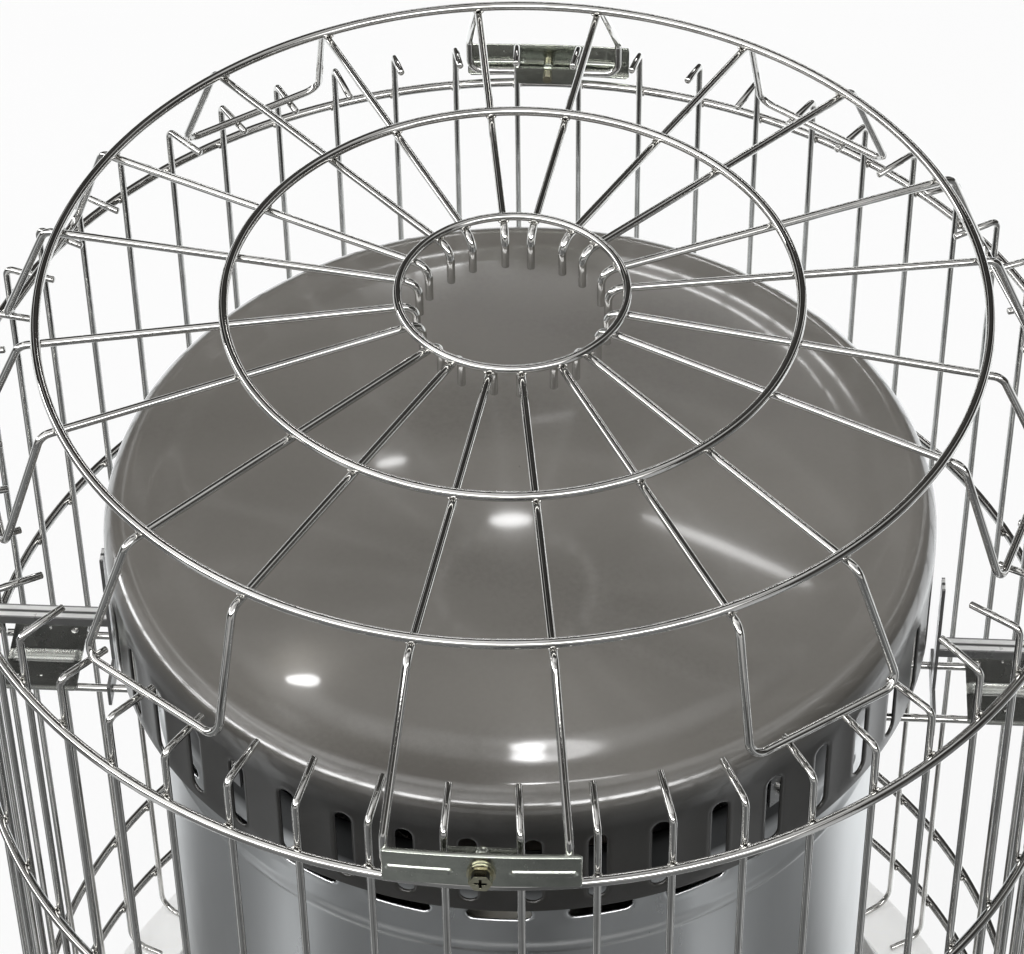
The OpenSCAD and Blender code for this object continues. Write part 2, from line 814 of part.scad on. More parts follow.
module igniter_coil() {
    turns = 3;
    color([0.9, 0.86, 0.8]) {
        translate([igniter_x, coil_rest_y - 5, igniter_z])
            rotate([-90, 0, 0])
                difference() {
                    cylinder(d = 7, h = 6, $fn = round_fn);
                    translate([0, 0, -over])
                        cylinder(d = rod_d + 2 * weld_gap, h = over + weld_gap, $fn = wire_fn);
                }
        for (i = [0 : turns - 1])
            translate([igniter_x, coil_rest_y + 1 + i * 1.4, igniter_z])
                rotate([90, 0, 0])
                    rotate_extrude($fn = wire_fn)
                        translate([coil_d / 2, 0])
                            circle(d = 0.9, $fn = 16);
        translate([igniter_x, coil_rest_y, igniter_z])
            for (s = [-1, 1])
                translate([s * coil_d / 2, 0, 0])
                    rotate([-90, 0, 0])
                        cylinder(d = 0.8, h = turns * 1.4, $fn = 16);
    }
}

// The collar on a button's rod, which the return spring pushes on
module rod_collar(x) {
    translate([x, -collar_y, shaft_z])
        rotate([90, 0, 0])
            cylinder(d = 2 * rod_d + 1, h = collar_t, $fn = wire_fn);
}

// The plate behind the housing that guides both rods and holds their springs
module rod_guide() {
    half = button_x + 8;
    color(zinc)
        difference() {
            union() {
                translate([-half, -guide_y, deck_z + weld_gap])
                    cube([2 * half, guide_t, shaft_z + 8 - deck_z]);
                translate([-half, -guide_y, deck_z + weld_gap])
                    cube([2 * half, 12, guide_t]);
            }
            for (x = [-button_x, button_x])
                translate([x, -guide_y + guide_t + over, shaft_z])
                    rotate([90, 0, 0])
                        cylinder(d = rod_d + 2 * run_gap, h = guide_t + 2 * over, $fn = round_fn);
            translate([0, -guide_y + guide_t + over, shaft_z])
                rotate([90, 0, 0])
                    cylinder(d = shaft_d + 2 * guide_gap, h = guide_t + 2 * over, $fn = round_fn);
        }
}

// The return spring round a button's rod, from the collar to the guide plate
module return_spring(x) {
    translate([x, -guide_y - 0.1, shaft_z])
        rotate([90, 0, 0])
            rod_spring(collar_y - guide_y - 0.2, rod_d / 2 + 1.4, 1);
}

// A coil of wire along the Z axis, from height 0 to len
module rod_spring(len, mean_r, wire) {
    turns = 8;
    sides = 8;
    per_turn = 12;
    rings = turns * per_turn;
    lead = len - wire;
    pts = [for (k = [0 : rings]) for (j = [0 : sides - 1])
        let (a = 360 * k / per_turn, b = 360 * j / sides,
            rr = mean_r + wire / 2 * cos(b))
        [rr * cos(a), rr * sin(a), wire / 2 + lead * k / rings + wire / 2 * sin(b)]];
    faces = concat(
        [[for (j = [0 : sides - 1]) j]],
        [[for (j = [sides - 1 : -1 : 0]) rings * sides + j]],
        [for (k = [0 : rings - 1]) for (j = [0 : sides - 1])
            let (n = (j + 1) % sides, at = k * sides)
            [at + j, at + sides + j, at + n]],
        [for (k = [0 : rings - 1]) for (j = [0 : sides - 1])
            let (n = (j + 1) % sides, at = k * sides)
            [at + n, at + sides + j, at + sides + n]]);
    polyhedron(pts, faces);
}

module ignition_spring() {
    color(steel) return_spring(-button_x);
}

module put_out_button() {
    color(dark)
        translate([button_x, -panel_y, shaft_z]) {
            push_cap(put_out_travel);
            rotate([-90, 0, 0])
                translate([0, 0, -put_out_travel - button_back_gap - 0.1])
                    cylinder(d = rod_d, h = put_out_travel + panel_y - guide_y + 6, $fn = wire_fn);
        }
    color(dark) rod_collar(button_x);
}

module put_out_spring() {
    color(steel) return_spring(button_x);
}

// Battery case and tip-over weight

module battery_case() {
    inner = battery_t;
    color(dark)
        difference() {
            union() {
                translate([-battery_half, battery_y, battery_low_z])
                    cube([2 * battery_half, battery_depth, battery_top_z - battery_low_z]);
                for (x = [-battery_half + 4, battery_half - 16])
                    translate([x, battery_y + battery_depth - 0.5, battery_top_z - 6])
                        cube([12, 5.5, 6]);
            }
            translate([-battery_half + inner, battery_y + inner, battery_low_z + inner])
                cube([2 * battery_half - 2 * inner, battery_depth - 2 * inner, battery_top_z]);
            translate([-battery_half - over, lid_pin_y, lid_pin_z])
                rotate([0, 90, 0])
                    cylinder(d = lid_pin_d + 2 * run_gap, h = 2 * battery_half + 2 * over,
                        $fn = wire_fn);
        }
}

module battery_lid() {
    knuckle = 2 * battery_half - 34;
    color(dark) {
        translate([-battery_half, battery_y, battery_top_z + weld_gap])
            cube([2 * battery_half, battery_depth - 1, lid_t]);
        translate([-knuckle / 2, battery_y + battery_depth - 2, battery_top_z + weld_gap])
            cube([knuckle, 5, lid_t]);
        translate([-knuckle / 2, lid_pin_y, lid_pin_z])
            rotate([0, 90, 0])
                cylinder(d = lid_pin_d + 2, h = knuckle, $fn = wire_fn);
        translate([-knuckle / 2, lid_pin_y - 0.9, lid_pin_z])
            cube([knuckle, 1.8, battery_top_z + lid_t - lid_pin_z]);
        translate([-battery_half + 5, lid_pin_y, lid_pin_z])
            rotate([0, 90, 0])
                cylinder(d = lid_pin_d, h = 2 * battery_half - 10, $fn = wire_fn);
        translate([-8, battery_y + 4, battery_top_z + lid_t])
            cube([16, 4, 1.6]);
    }
}

module battery_cells() {
    color([0.3, 0.45, 0.6])
        for (s = [-1, 1])
            translate([s * (cell_len / 2 + 0.8), battery_y + battery_depth / 2,
                battery_low_z + battery_t + cell_r + weld_gap])
                rotate([0, 90, 0]) {
                    cylinder(r = cell_r, h = cell_len - 2, center = true, $fn = round_fn);
                    translate([0, 0, cell_len / 2 - 1])
                        cylinder(r = 3.5, h = 1.5, $fn = wire_fn);
                }
}

module tip_weight() {
    pin_len = 2 * tip_leg_y + bracket_t + 1;
    color(steel)
        translate([weight_x, -weight_y, 0]) {
            translate([0, 0, weight_z])
                cylinder(r = weight_r, h = weight_h, $fn = round_fn);
            translate([0, 0, weight_z + weight_h - 1])
                cylinder(d = 4, h = weight_pivot_z - weight_z - weight_h + 1, $fn = wire_fn);
            translate([0, 0, weight_pivot_z])
                rotate([90, 0, 0]) {
                    cylinder(d = 7, h = 12, center = true, $fn = round_fn);
                    cylinder(d = tip_pin_d, h = pin_len, center = true, $fn = round_fn);
                }
        }
}

module tip_bracket() {
    half_w = 7;
    top_z = weight_pivot_z + 7;
    color(zinc)
        translate([weight_x, -weight_y, 0])
            difference() {
                union() {
                    for (s = [-1, 1])
                        translate([-half_w, s * tip_leg_y - bracket_t / 2, deck_z + weld_gap])
                            cube([2 * half_w, bracket_t, top_z - deck_z]);
                    translate([-half_w, -tip_leg_y - bracket_t / 2, top_z - bracket_t])
                        cube([2 * half_w, 2 * tip_leg_y + bracket_t, bracket_t]);
                }
                translate([0, 0, weight_pivot_z])
                    rotate([90, 0, 0])
                        cylinder(d = tip_pin_d + 2 * run_gap, h = 40, center = true, $fn = round_fn);
            }
}

// Burner

module heat_shield() {
    slot_w = rod_d + 4;
    color(steel)
        difference() {
            union() {
                washer(wick_tube_outer_in_r, casing_r + 2.5, shield_z, shield_t);
                tube(casing_r - casing_t - weld_gap, shield_t, shield_z, shield_rim_h);
            }
            translate([-button_x - slot_w / 2, igniter_rise_y - slot_w / 2, shield_z - over])
                cube([slot_w, ignite_travel + slot_w, shield_t + 2 * over]);
        }
}

module burner_base() {
    base_r = chimney_r + 4;
    color(dark)
        difference() {
            washer(wick_tube_outer_in_r, base_r, shield_z + shield_t, base_t);
            for (a = [0 : 15 : 345])
                rotate(a)
                    translate([68, 0, shield_z])
                        cylinder(d = 5, h = 6, $fn = wire_fn);
        }
}

// Rows of round holes through a flame tube
module hole_rows(r, rows, count, d, z, step) {
    for (k = [0 : rows - 1])
        for (i = [0 : count - 1])
            rotate([0, 0, (i + 0.5 * (k % 2)) * 360 / count])
                translate([0, -r + 4, z + k * step])
                    rotate([90, 0, 0])
                        cylinder(d = d, h = 4 + over, $fn = 16);
}

module flame_tube_inner() {
    color(steel)
        difference() {
            union() {
                tube(flame_inner_r, burner_t, flame_inner_z, flame_top_z - flame_inner_z);
                washer(flame_inner_r - burner_t, air_tube_r, flame_inner_z, burner_t);
            }
            hole_rows(flame_inner_r, 5, 10, 5, flame_z + 0.16 * flame_h, 0.18 * flame_h);
        }
}

module flame_tube_outer() {
    color(steel)
        difference() {
            tube(flame_outer_r, burner_t, flame_z, flame_h);
            hole_rows(flame_outer_r, 5, 12, 5, flame_z + 0.25 * flame_h, 0.17 * flame_h);
            translate([igniter_x - igniter_way / 2, -flame_outer_r - over, flame_z - over])
                cube([igniter_way, 2 * igniter_way, igniter_way + 4]);
        }
}

module flame_spreader() {
    color(steel)
        translate([0, 0, spreader_z])
            difference() {
                union() {
                    cylinder(r1 = flame_inner_r + 4, r2 = flame_outer_r - 6, h = 6, $fn = round_fn);
                    translate([0, 0, -6])
                        cylinder(r = flame_inner_r - burner_t - 0.3, h = 7, $fn = round_fn);
                }
                translate([0, 0, -6 - over])
                    cylinder(r = flame_inner_r - burner_t - 2, h = 10, $fn = round_fn);
            }
}

module chimney() {
    color(steel)
        difference() {
            tube(chimney_r, burner_t, burner_z + weld_gap, chimney_h);
            translate([igniter_x - igniter_way / 2, -chimney_r - over, burner_z - over])
                cube([igniter_way, igniter_way + 4, igniter_way + 5]);
            translate([-mica_w / 2, -chimney_r - over, window_z - mica_h / 2])
                cube([mica_w, 30, mica_h]);
        }
}

module chimney_window() {
    lap = 4;
    half_h = mica_h / 2 + lap;
    half_w = mica_w / 2 + lap;
    color([0.9, 0.8, 0.6, 0.4])
        intersection() {
            tube(chimney_r - burner_t - weld_gap, 0.5, window_z - half_h, 2 * half_h);
            translate([-half_w, -chimney_r, window_z - half_h])
                cube([2 * half_w, 30, 2 * half_h]);
        }
}

module cross_pins() {
    color(steel) {
        for (a = [45, 135])
            translate([0, 0, flame_top_z - 10 - (a > 90 ? 4 : 0)])
                rotate([0, 90, a])
                    difference() {
                        cylinder(d = 3, h = 2 * (flame_outer_r - burner_t - 0.1), center = true,
                            $fn = wire_fn);
                        cylinder(r = 4, h = 2 * (flame_inner_r + 0.1), center = true, $fn = wire_fn);
                    }
    }
}

// Casing

module casing() {
    bead_d = 3;
    color([0.7, 0.72, 0.75])
        difference() {
            union() {
                tube(casing_r, casing_t, casing_z, casing_top_z - casing_z);
                translate([0, 0, casing_bead_z])
                    rotate_extrude($fn = round_fn)
                        intersection() {
                            translate([casing_r - 0.3, 0])
                                circle(d = bead_d, $fn = wire_fn);
                            translate([casing_r - casing_t / 2, -bead_d])
                                square([bead_d, 2 * bead_d]);
                        }
                translate([0, 0, casing_z])
                    rotate_extrude($fn = round_fn)
                        translate([casing_r - casing_t / 2, 0])
                            square([casing_t / 2 + 1.2, 5]);
            }
            for (i = [0 : casing_slots - 1])
                rotate([0, 0, i * 360 / casing_slots])
                    radial_slot(casing_r, casing_slot_z, casing_slot_w, casing_slot_len, false, 5);
            translate([-window_w / 2, -casing_r - 3, window_z - window_h / 2])
                cube([window_w, 40, window_h]);
        }
}

// A part of a cylinder shell in front of the casing, w wide and h high
module front_shell(r, t, w, h) {
    intersection() {
        tube(r, t, window_z - h / 2, h);
        translate([-w / 2, -r - over, window_z - h / 2])
            cube([w, 60, h]);
    }
}

module window_frame() {
    border = 8;
    color(zinc)
        difference() {
            front_shell(casing_r + 1.2 + weld_gap, 1.2, window_w + 2 * border, window_h + 2 * border);
            translate([-window_w / 2 + 2, -casing_r - 5, window_z - window_h / 2 + 2])
                cube([window_w - 4, 40, window_h - 4]);
        }
}

module window_glass() {
    color([0.85, 0.85, 0.8, 0.35])
        front_shell(casing_r - weld_gap, casing_t, window_w - 0.4, window_h - 0.4);
}

module heat_deflector() {
    z = casing_top_z - 6;
    arm_r = casing_r - casing_t - 0.3;
    arm_w = 12;
    rim_r = 118;
    top_r = 100;
    cone_h = 10;
    wall = 1.5;
    color(steel)
        difference() {
            union() {
                translate([0, 0, z])
                    cylinder(r1 = rim_r, r2 = top_r, h = cone_h, $fn = round_fn);
                for (a = [0, 90])
                    rotate([0, 0, a + 22.5])
                        translate([-arm_r, -arm_w / 2, z])
                            cube([2 * arm_r, arm_w, wall - 0.3]);
            }
            translate([0, 0, z - 0.01])
                cylinder(r1 = rim_r - wall, r2 = top_r - wall, h = cone_h - wall + 0.3,
                    $fn = round_fn);
        }
}

// Angles that carry the top plate on the casing
module plate_brackets() {
    t = 1.2;
    r_in = casing_r + weld_gap;
    low = casing_top_z - 14;
    high = plate_under_z - 3;
    reach = plate_r - plate_t - weld_gap - r_in;
    color(steel)
        for (a = [45 : 90 : 315])
            rotate([0, 0, a])
                difference() {
                    union() {
                        translate([-8, -r_in - t - 0.3, low])
                            cube([16, t, high - low - 14]);
                        translate([-8, -r_in - reach + 1, high - 14 - t])
                            cube([16, reach - 1, t]);
                        translate([-8, -r_in - reach + 1, skirt_slot_z + skirt_slot_h / 2 + 1])
                            cube([16, t, high - 14 - skirt_slot_z - skirt_slot_h / 2 - 1]);
                    }
                    translate([0, -r_in + over, low + 6])
                        rotate([90, 0, 0])
                            cylinder(d = 4.2, h = 5, $fn = wire_fn);
                }
}

module bracket_screws() {
    color(zinc)
        for (a = [45 : 90 : 315])
            rotate([0, 0, a])
                translate([0, -casing_r - 1.6, casing_top_z - 8])
                    rotate([90, 0, 0]) {
                        cylinder(d = 7, h = 2.4, $fn = round_fn);
                        translate([0, 0, -1.4])
                            cylinder(d = 3.9, h = 1.6, $fn = wire_fn);
                    }
}

// Outline of the top plate, lowered by a sheet thickness for its inside
module plate_outline(r, z, round_r, low) {
    centre_z = z + step_h + dome_h;
    half = step_r - step_run;
    dome_r = (half * half + dome_h * dome_h) / (2 * dome_h);
    translate([0, low])
        square([r, z - round_r - low]);
    translate([0, z - round_r - 0.01])
        square([r - round_r, round_r + 0.01]);
    translate([r - round_r, z - round_r])
        circle(r = round_r, $fn = 64);
    translate([0, z - 0.01])
        polygon([[0, 0], [step_r + step_run, 0], [half, step_h + 0.01], [0, step_h + 0.01]]);
    intersection() {
        translate([0, centre_z - dome_r])
            circle(r = dome_r, $fn = 360);
        translate([0, z + step_h - 0.01])
            square([half, dome_h + 1]);
    }
}

module top_plate() {
    color(warm_grey)
        difference() {
            rotate_extrude($fn = round_fn)
                intersection() {
                    plate_outline(plate_r, plate_z, plate_round, skirt_z);
                    translate([0, skirt_z])
                        square([plate_r + 1, skirt_depth + step_h + dome_h + 5]);
                }
            rotate_extrude($fn = round_fn)
                intersection() {
                    plate_outline(plate_r - plate_t, plate_z - plate_t, plate_round - plate_t,
                        skirt_z - over);
                    translate([0, skirt_z - over])
                        square([plate_r + 1, skirt_depth + step_h + dome_h + 5]);
                }
            for (i = [0 : skirt_slots - 1])
                rotate([0, 0, skirt_slot_turn + i * 360 / skirt_slots])
                    radial_slot(plate_r, skirt_slot_z, skirt_slot_w, skirt_slot_h, true, 4);
        }
}

// Guard cage

module long_upright(turn) {
    rotate([0, 0, turn])
        bent_wire([
            [0, -stub_end_r, stub_z],
            [0, -upright_r, stub_z],
            [0, -upright_r, foot_z],
            [0, -foot_end_r, foot_z]
        ], [stub_bend, foot_bend], upright_d);
}

module short_upright(turn) {
    rotate([0, 0, turn])
        bent_wire([
            [0, -stub_end_r, stub_z],
            [0, -upright_r, stub_z],
            [0, -upright_r, short_end_z]
        ], [stub_bend], upright_d);
}

module front_uprights() {
    color(chrome)
        for (i = [0 : window_uprights - 1])
            short_upright((i - window_uprights / 2 + 0.5) * upright_step);
}

module right_uprights() {
    color(chrome)
        for (i = [0 : long_half - 1])
            long_upright((window_uprights / 2 + i + 0.5) * upright_step);
}

module left_uprights() {
    color(chrome)
        for (i = [0 : long_half - 1])
            long_upright(-(window_uprights / 2 + i + 0.5) * upright_step);
}

module top_hoop() {
    color(chrome) hoop(guard_r, hoop_top_z, hoop_d);
}

module shoulder_hoop() {
    color(chrome) hoop(guard_r, hoop_shoulder_z, hoop_d);
}

module low_hoop() {
    color(chrome) hoop(guard_r, hoop_low_z, hoop_d);
}

module bottom_hoop() {
    color(chrome) hoop(guard_r, hoop_bottom_z, hoop_d, window_half_angle);
}

// Side stays

module both_sides() {
    for (s = [0, 180])
        rotate([0, 0, s])
            children();
}

module stay_frames() {
    t = 1.5;
    outer = guard_r - hoop_d / 2 - 1;
    strap_low = stay_rod_z - 6;
    strap_high = skirt_z + 16;
    color(chrome)
        both_sides()
            difference() {
                union() {
                    translate([stay_strap_r, -stay_w / 2, strap_low])
                        cube([t, stay_w, strap_high - strap_low]);
                    translate([stay_strap_r, -stay_w / 2, stay_bar_z])
                        cube([outer - stay_strap_r, stay_w, t]);
                    for (y = [-stay_w / 2, stay_w / 2 - 1])
                        translate([stay_strap_r, y, stay_bar_z - 3])
                            cube([outer - stay_strap_r, 1, 3.5]);
                    translate([outer - t, -stay_w / 2, hoop_shoulder_z - 4])
                        cube([t, stay_w, stay_bar_z - hoop_shoulder_z + 5]);
                    translate([stay_strap_r, -stay_rod_y - 5, strap_low])
                        cube([t, 2 * stay_rod_y + 10, 12]);
                }
                for (y = [-stay_rod_y, stay_rod_y])
                    translate([stay_strap_r - over, y, stay_rod_z])
                        rotate([0, 90, 0])
                            cylinder(d = stay_rod_d + 2 * weld_gap, h = t + 2 * over, $fn = wire_fn);
            }
}

module stay_rods() {
    inner = sqrt(pow(casing_r + 0.4, 2) - pow(stay_rod_y, 2)) + 0.6;
    outer = upright_r * cos(upright_step / 2) - upright_d / 2 - weld_gap;
    color(chrome)
        both_sides()
            for (y = [-stay_rod_y, stay_rod_y])
                translate([inner, y, stay_rod_z])
                    rotate([0, 90, 0])
                        cylinder(d = stay_rod_d, h = outer - inner, $fn = wire_fn);
}

module stay_plates() {
    t = 1.2;
    corner = 4;
    z = stay_rod_z + stay_rod_d / 2 + weld_gap;
    x_mid = stay_plate_r + stay_plate_len / 2;
    color(zinc)
        both_sides() {
            translate([0, 0, z]) {
                translate([stay_plate_r + corner, -stay_plate_w / 2, 0])
                    cube([stay_plate_len - 2 * corner, stay_plate_w, t]);
                translate([stay_plate_r, -stay_plate_w / 2 + corner, 0])
                    cube([stay_plate_len, stay_plate_w - 2 * corner, t]);
                for (x = [stay_plate_r + corner, stay_plate_r + stay_plate_len - corner])
                    for (y = [-1, 1])
                        translate([x, y * (stay_plate_w / 2 - corner), 0])
                            cylinder(r = corner, h = t, $fn = wire_fn);
            }
            translate([x_mid - stay_plate_len / 2 + 2, 0, z + t - 0.6])
                rotate([0, 90, 0])
                    cylinder(r = 2.4, h = stay_plate_len - 4, $fn = wire_fn);
        }
}

// Clamps at the front and the back of the top hoop

module clamp_plates() {
    rib_d = 3.4;
    rib_len = clamp_len / 3;
    rib_at = clamp_len / 2 - rib_len / 2 - rib_d / 2;
    rib_y = clamp_y + clamp_t - clamp_sag / 2 - 0.6;
    color(zinc)
        both_sides()
            difference() {
                union() {
                    intersection() {
                        translate([0, clamp_bend_r - clamp_y - clamp_t, 0])
                            tube(clamp_bend_r, clamp_t, clamp_z, clamp_h);
                        translate([-clamp_len / 2, -clamp_y - 2 * clamp_t, clamp_z])
                            cube([clamp_len, clamp_sag + 3 * clamp_t, clamp_h]);
                    }
                    difference() {
                        for (s = [-1, 1])
                            translate([s * rib_at, -rib_y, clamp_screw_z])
                                rotate([0, 90, 0])
                                    cylinder(d = rib_d, h = rib_len, center = true, $fn = wire_fn);
                        translate([0, clamp_bend_r - clamp_y - clamp_t, clamp_z - over])
                            cylinder(r = clamp_bend_r - clamp_t / 2, h = clamp_h + 2 * over, $fn = round_fn);
                    }
                }
                translate([0, -clamp_y + over, clamp_screw_z])
                    rotate([90, 0, 0])
                        cylinder(d = clamp_screw_d + 0.4, h = clamp_t + 3, $fn = wire_fn);
            }
}

// The inner plate presses on the inner sides of two uprights, its tapped boss turned outwards
module clamp_inner_plates() {
    color(zinc)
        both_sides()
            difference() {
                union() {
                    translate([-clamp_inner_w / 2, -clamp_inner_y, clamp_inner_z])
                        cube([clamp_inner_w, clamp_t, clamp_inner_h]);
                    translate([0, -clamp_inner_y + clamp_t / 2, clamp_screw_z])
                        rotate([90, 0, 0])
                            cylinder(d = clamp_boss_d, h = clamp_t / 2 + 2, $fn = wire_fn);
                }
                translate([0, -clamp_inner_y + 5, clamp_screw_z])
                    rotate([90, 0, 0])
                        cylinder(d = clamp_screw_d + 2 * weld_gap, h = 12, $fn = wire_fn);
            }
}

module clamp_screws() {
    clamp_screw(clamp_screw_front);
    rotate([0, 0, 180])
        clamp_screw(clamp_screw_back);
}

module clamp_screw(len) {
    cross_w = 1.1;
    cross_len = 4.8;
    hex_d = 9.2;
    top = clamp_flange_t + clamp_head_h;
    color(brass)
        translate([0, -clamp_y - clamp_t - weld_gap, clamp_screw_z])
            rotate([90, 0, 0])
                difference() {
                    union() {
                        cylinder(d = clamp_flange_d, h = clamp_flange_t, $fn = round_fn);
                        cylinder(d = hex_d, h = top, $fn = 6);
                        translate([0, 0, -len])
                            cylinder(d = clamp_screw_d, h = len + 0.5, $fn = round_fn);
                    }
                    for (a = [0, 90])
                        rotate(a)
                            translate([-cross_len / 2, -cross_w / 2, top - 1.6])
                                cube([cross_len, cross_w, 2]);
                }
}

// Top grille

// Height of the middle of the radial wires at radius r
function radial_z_at(r) =
    radial_z - radial_fall * (r - grille_hub_r) / (grille_outer_r - grille_hub_r);

// Corners of one side of a looped wire, from the hub to the knee
function radial_side(s) = [
    on_ring(hub_end_r, s * loop_half_angle, radial_z_at(hub_end_r) - hub_end_drop),
    on_ring(hub_end_r, s * loop_half_angle, radial_z_at(hub_end_r)),
    on_ring(knee_r, s * loop_half_angle, radial_z_at(knee_r))
];

function reversed(pts) = [for (i = [len(pts) - 1 : -1 : 0]) pts[i]];

// A looped wire whose legs go through the corners in leg, given for the right side
module looped_wire(leg) {
    left = [for (p = leg) [-p.x, p.y, p.z]];
    path = concat(radial_side(-1), left, reversed(leg), reversed(radial_side(1)));
    bent_wire(path, same_bends(path, loop_bend), radial_d);
}

module resting_loop() {
    foot_y = -sqrt(pow(loop_foot_r, 2) - pow(loop_foot_half, 2));
    looped_wire([[loop_foot_half, foot_y, loop_foot_z]]);
}

module held_loop() {
    looped_wire([
        [held_foot_half, -held_foot_y, clamp_z + clamp_h + 4],
        [held_foot_half, -held_foot_y, held_foot_z]
    ]);
}

// The top guard's place on the cage
module on_cage() {
    translate([grille_shift, 0, 0])
        children();
}

module grille_loops() {
    color(chrome)
        on_cage()
            for (i = [0 : loop_count - 1])
                rotate([0, 0, i * 360 / loop_count])
                    if (i == 0 || i == loop_count / 2)
                        held_loop();
                    else
                        resting_loop();
}

// A hoop that lies on the radial wires
module grille_hoop(r, d) {
    color(chrome)
        on_cage()
            hoop(r, radial_z_at(r) + radial_d / 2 + d / 2 + weld_gap, d);
}

module grille_outer_hoop() {
    grille_hoop(grille_outer_r, grille_hoop_d);
}

module grille_middle_hoop() {
    grille_hoop(grille_middle_r, grille_hoop_d);
}

module grille_hub_hoop() {
    grille_hoop(grille_hub_r, hub_hoop_d);
}

base_tray();
fuel_tank();
filler_neck();
filler_cap();
fuel_float();
sight_tube();
wick_tube_inner();
wick_tube_outer();
wick();
wick_carrier();
pinion();
control_shaft();
shaft_bracket();
shaft_bushing();
wick_knob();
control_housing();
ignition_button();
igniter_rod();
igniter_coil();
rod_guide();
ignition_spring();
put_out_button();
put_out_spring();
battery_case();
battery_lid();
battery_cells();
tip_weight();
tip_bracket();
heat_shield();
burner_base();
flame_tube_inner();
flame_tube_outer();
flame_spreader();
chimney();
chimney_window();
cross_pins();
casing();
window_frame();
window_glass();
heat_deflector();
plate_brackets();
bracket_screws();
top_plate();
front_uprights();
left_uprights();
right_uprights();
top_hoop();
shoulder_hoop();
low_hoop();
bottom_hoop();
stay_frames();
stay_rods();
stay_plates();
clamp_plates();
clamp_inner_plates();
clamp_screws();
grille_loops();
grille_outer_hoop();
grille_middle_hoop();
grille_hub_hoop();
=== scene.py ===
import json
import math
import random

import bmesh
import bpy
from mathutils import Matrix, Vector

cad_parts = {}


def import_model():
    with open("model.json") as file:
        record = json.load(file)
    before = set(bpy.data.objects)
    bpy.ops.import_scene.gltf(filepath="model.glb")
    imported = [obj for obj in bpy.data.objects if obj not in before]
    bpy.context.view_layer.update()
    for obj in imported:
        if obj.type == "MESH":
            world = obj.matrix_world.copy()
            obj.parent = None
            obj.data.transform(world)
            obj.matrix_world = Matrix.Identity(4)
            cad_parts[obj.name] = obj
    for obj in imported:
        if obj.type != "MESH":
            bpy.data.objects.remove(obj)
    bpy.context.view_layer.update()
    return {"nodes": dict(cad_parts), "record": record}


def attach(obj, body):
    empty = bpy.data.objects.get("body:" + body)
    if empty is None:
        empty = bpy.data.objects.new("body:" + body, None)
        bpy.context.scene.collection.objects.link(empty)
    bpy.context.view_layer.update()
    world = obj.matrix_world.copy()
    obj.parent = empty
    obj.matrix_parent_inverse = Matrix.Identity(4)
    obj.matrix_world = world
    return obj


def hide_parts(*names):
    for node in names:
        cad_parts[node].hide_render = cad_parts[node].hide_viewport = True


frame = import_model()
nodes = frame["nodes"]
MM = 0.001
TAU = 2 * math.pi
random.seed(4)

# Sizes in millimetres, as in the part's source apart from a few that differ from it

# Guard cage: STUB is the upper turned-in end of an upright, FOOT the lower one.
# WINDOW is the number of short uprights in front
GUARD_R, HOOP_D, UPRIGHT_D, UPRIGHTS, WINDOW = 239.0, 4.2, 3.0, 52, 8
HOOPS = {"top": 502.0, "shoulder": 359.0, "low": 110.0, "bottom": 57.0}
# Gap left between wires that touch
TOUCH = 0.05
UPRIGHT_R = GUARD_R - HOOP_D / 2 - UPRIGHT_D / 2 - TOUCH
UPRIGHT_TURN = 360 / UPRIGHTS
STUB_Z, STUB_R, STUB_BEND = 526.0, 212.0, 3.5
# Rise of the ends that carry no foot of the top guard. They lie this near, in degrees, to the middle between
# two loops or to a clamp
STUB_RISE, BETWEEN_TURN, CLAMP_TURN = 5.2, 4.5, 24
FOOT_Z, FOOT_R, FOOT_BEND = 30.95, 217.0, 9.0
HOOP_STEPS, WIRE_LIP = 192, 0.35
# Weld beads lie this far to each side of a crossing: on the cage in degrees, on the top guard in millimetres
WELD_TURN, WELD_ASIDE = 0.34, 1.5

# Top guard: loops of wire under three hoops
GRILLE_SHIFT, RADIAL_Z, RADIAL_D, RADIAL_FALL = -2.0, 580.75, 3.4, 2.6
GRILLE_HOOPS = {"outer": (191.5, 4.0), "middle": (116.3, 4.0), "hub": (46.3, 3.5)}
LOOPS, LOOP_HALF, LOOP_BEND, KNEE_R, HUB_END_R, HUB_DROP = 10, 7.8, 6.0, 198.5, 39.0, 17.0
LOOP_TURN = 360 / LOOPS
# Right leg of a loop, from the knee down: in a clamp, or to a foot on the uprights' ends
CLAMPED_LOOPS, CLAMPED_LEG = (0, 5), [(34.3, -238.17, 526.0), (34.3, -238.17, 509.0)]
LEG_X, LEG_R, LEG_Z = 34.5, 220.0, 529.25

# Top plate and its skirt
PLATE_R, PLATE_Z, SKIRT_Z, ROUND, PLATE_T = 176.5, 474.0, 408.0, 12.0, 1.0
STEP_R, STEP_RUN, STEP_H, DOME_H = 150.0, 8.0, 2.5, 9.0
DOME_RINGS = (6, 14, 24, 36, 48, 60, 72, 84, 96, 108, 118, 128, 135, 139)
SLOTS, SLOT_W, SLOT_H, SLOT_Z, SLOT_TURN = 43, 7.2, 38.0, 434.0, 4.9

# Casing: V_ are its vent slots, V_HALF half the height of the band that holds them
CASING_R, CASING_T, CASING_FOOT, CASING_TOP = 160.5, 0.8, 115.2, 427.0
V_SLOTS, V_LEN, V_W, V_Z, V_HALF = 24, 27.0, 6.0, 386.5, 9.0
BEAD_Z, BEAD_HALF, BEAD_OUT = 365.5, 4.5, 1.4
OPENING_HALF, OPENING_LOW, OPENING_HIGH = 46.0, 184.0, 288.0

# Pressed edge of a slot, steps round half a slot's end and across its sector of the drum
SLOT_LIP, ROUND_STEPS, ACROSS = 0.3, 6, 12

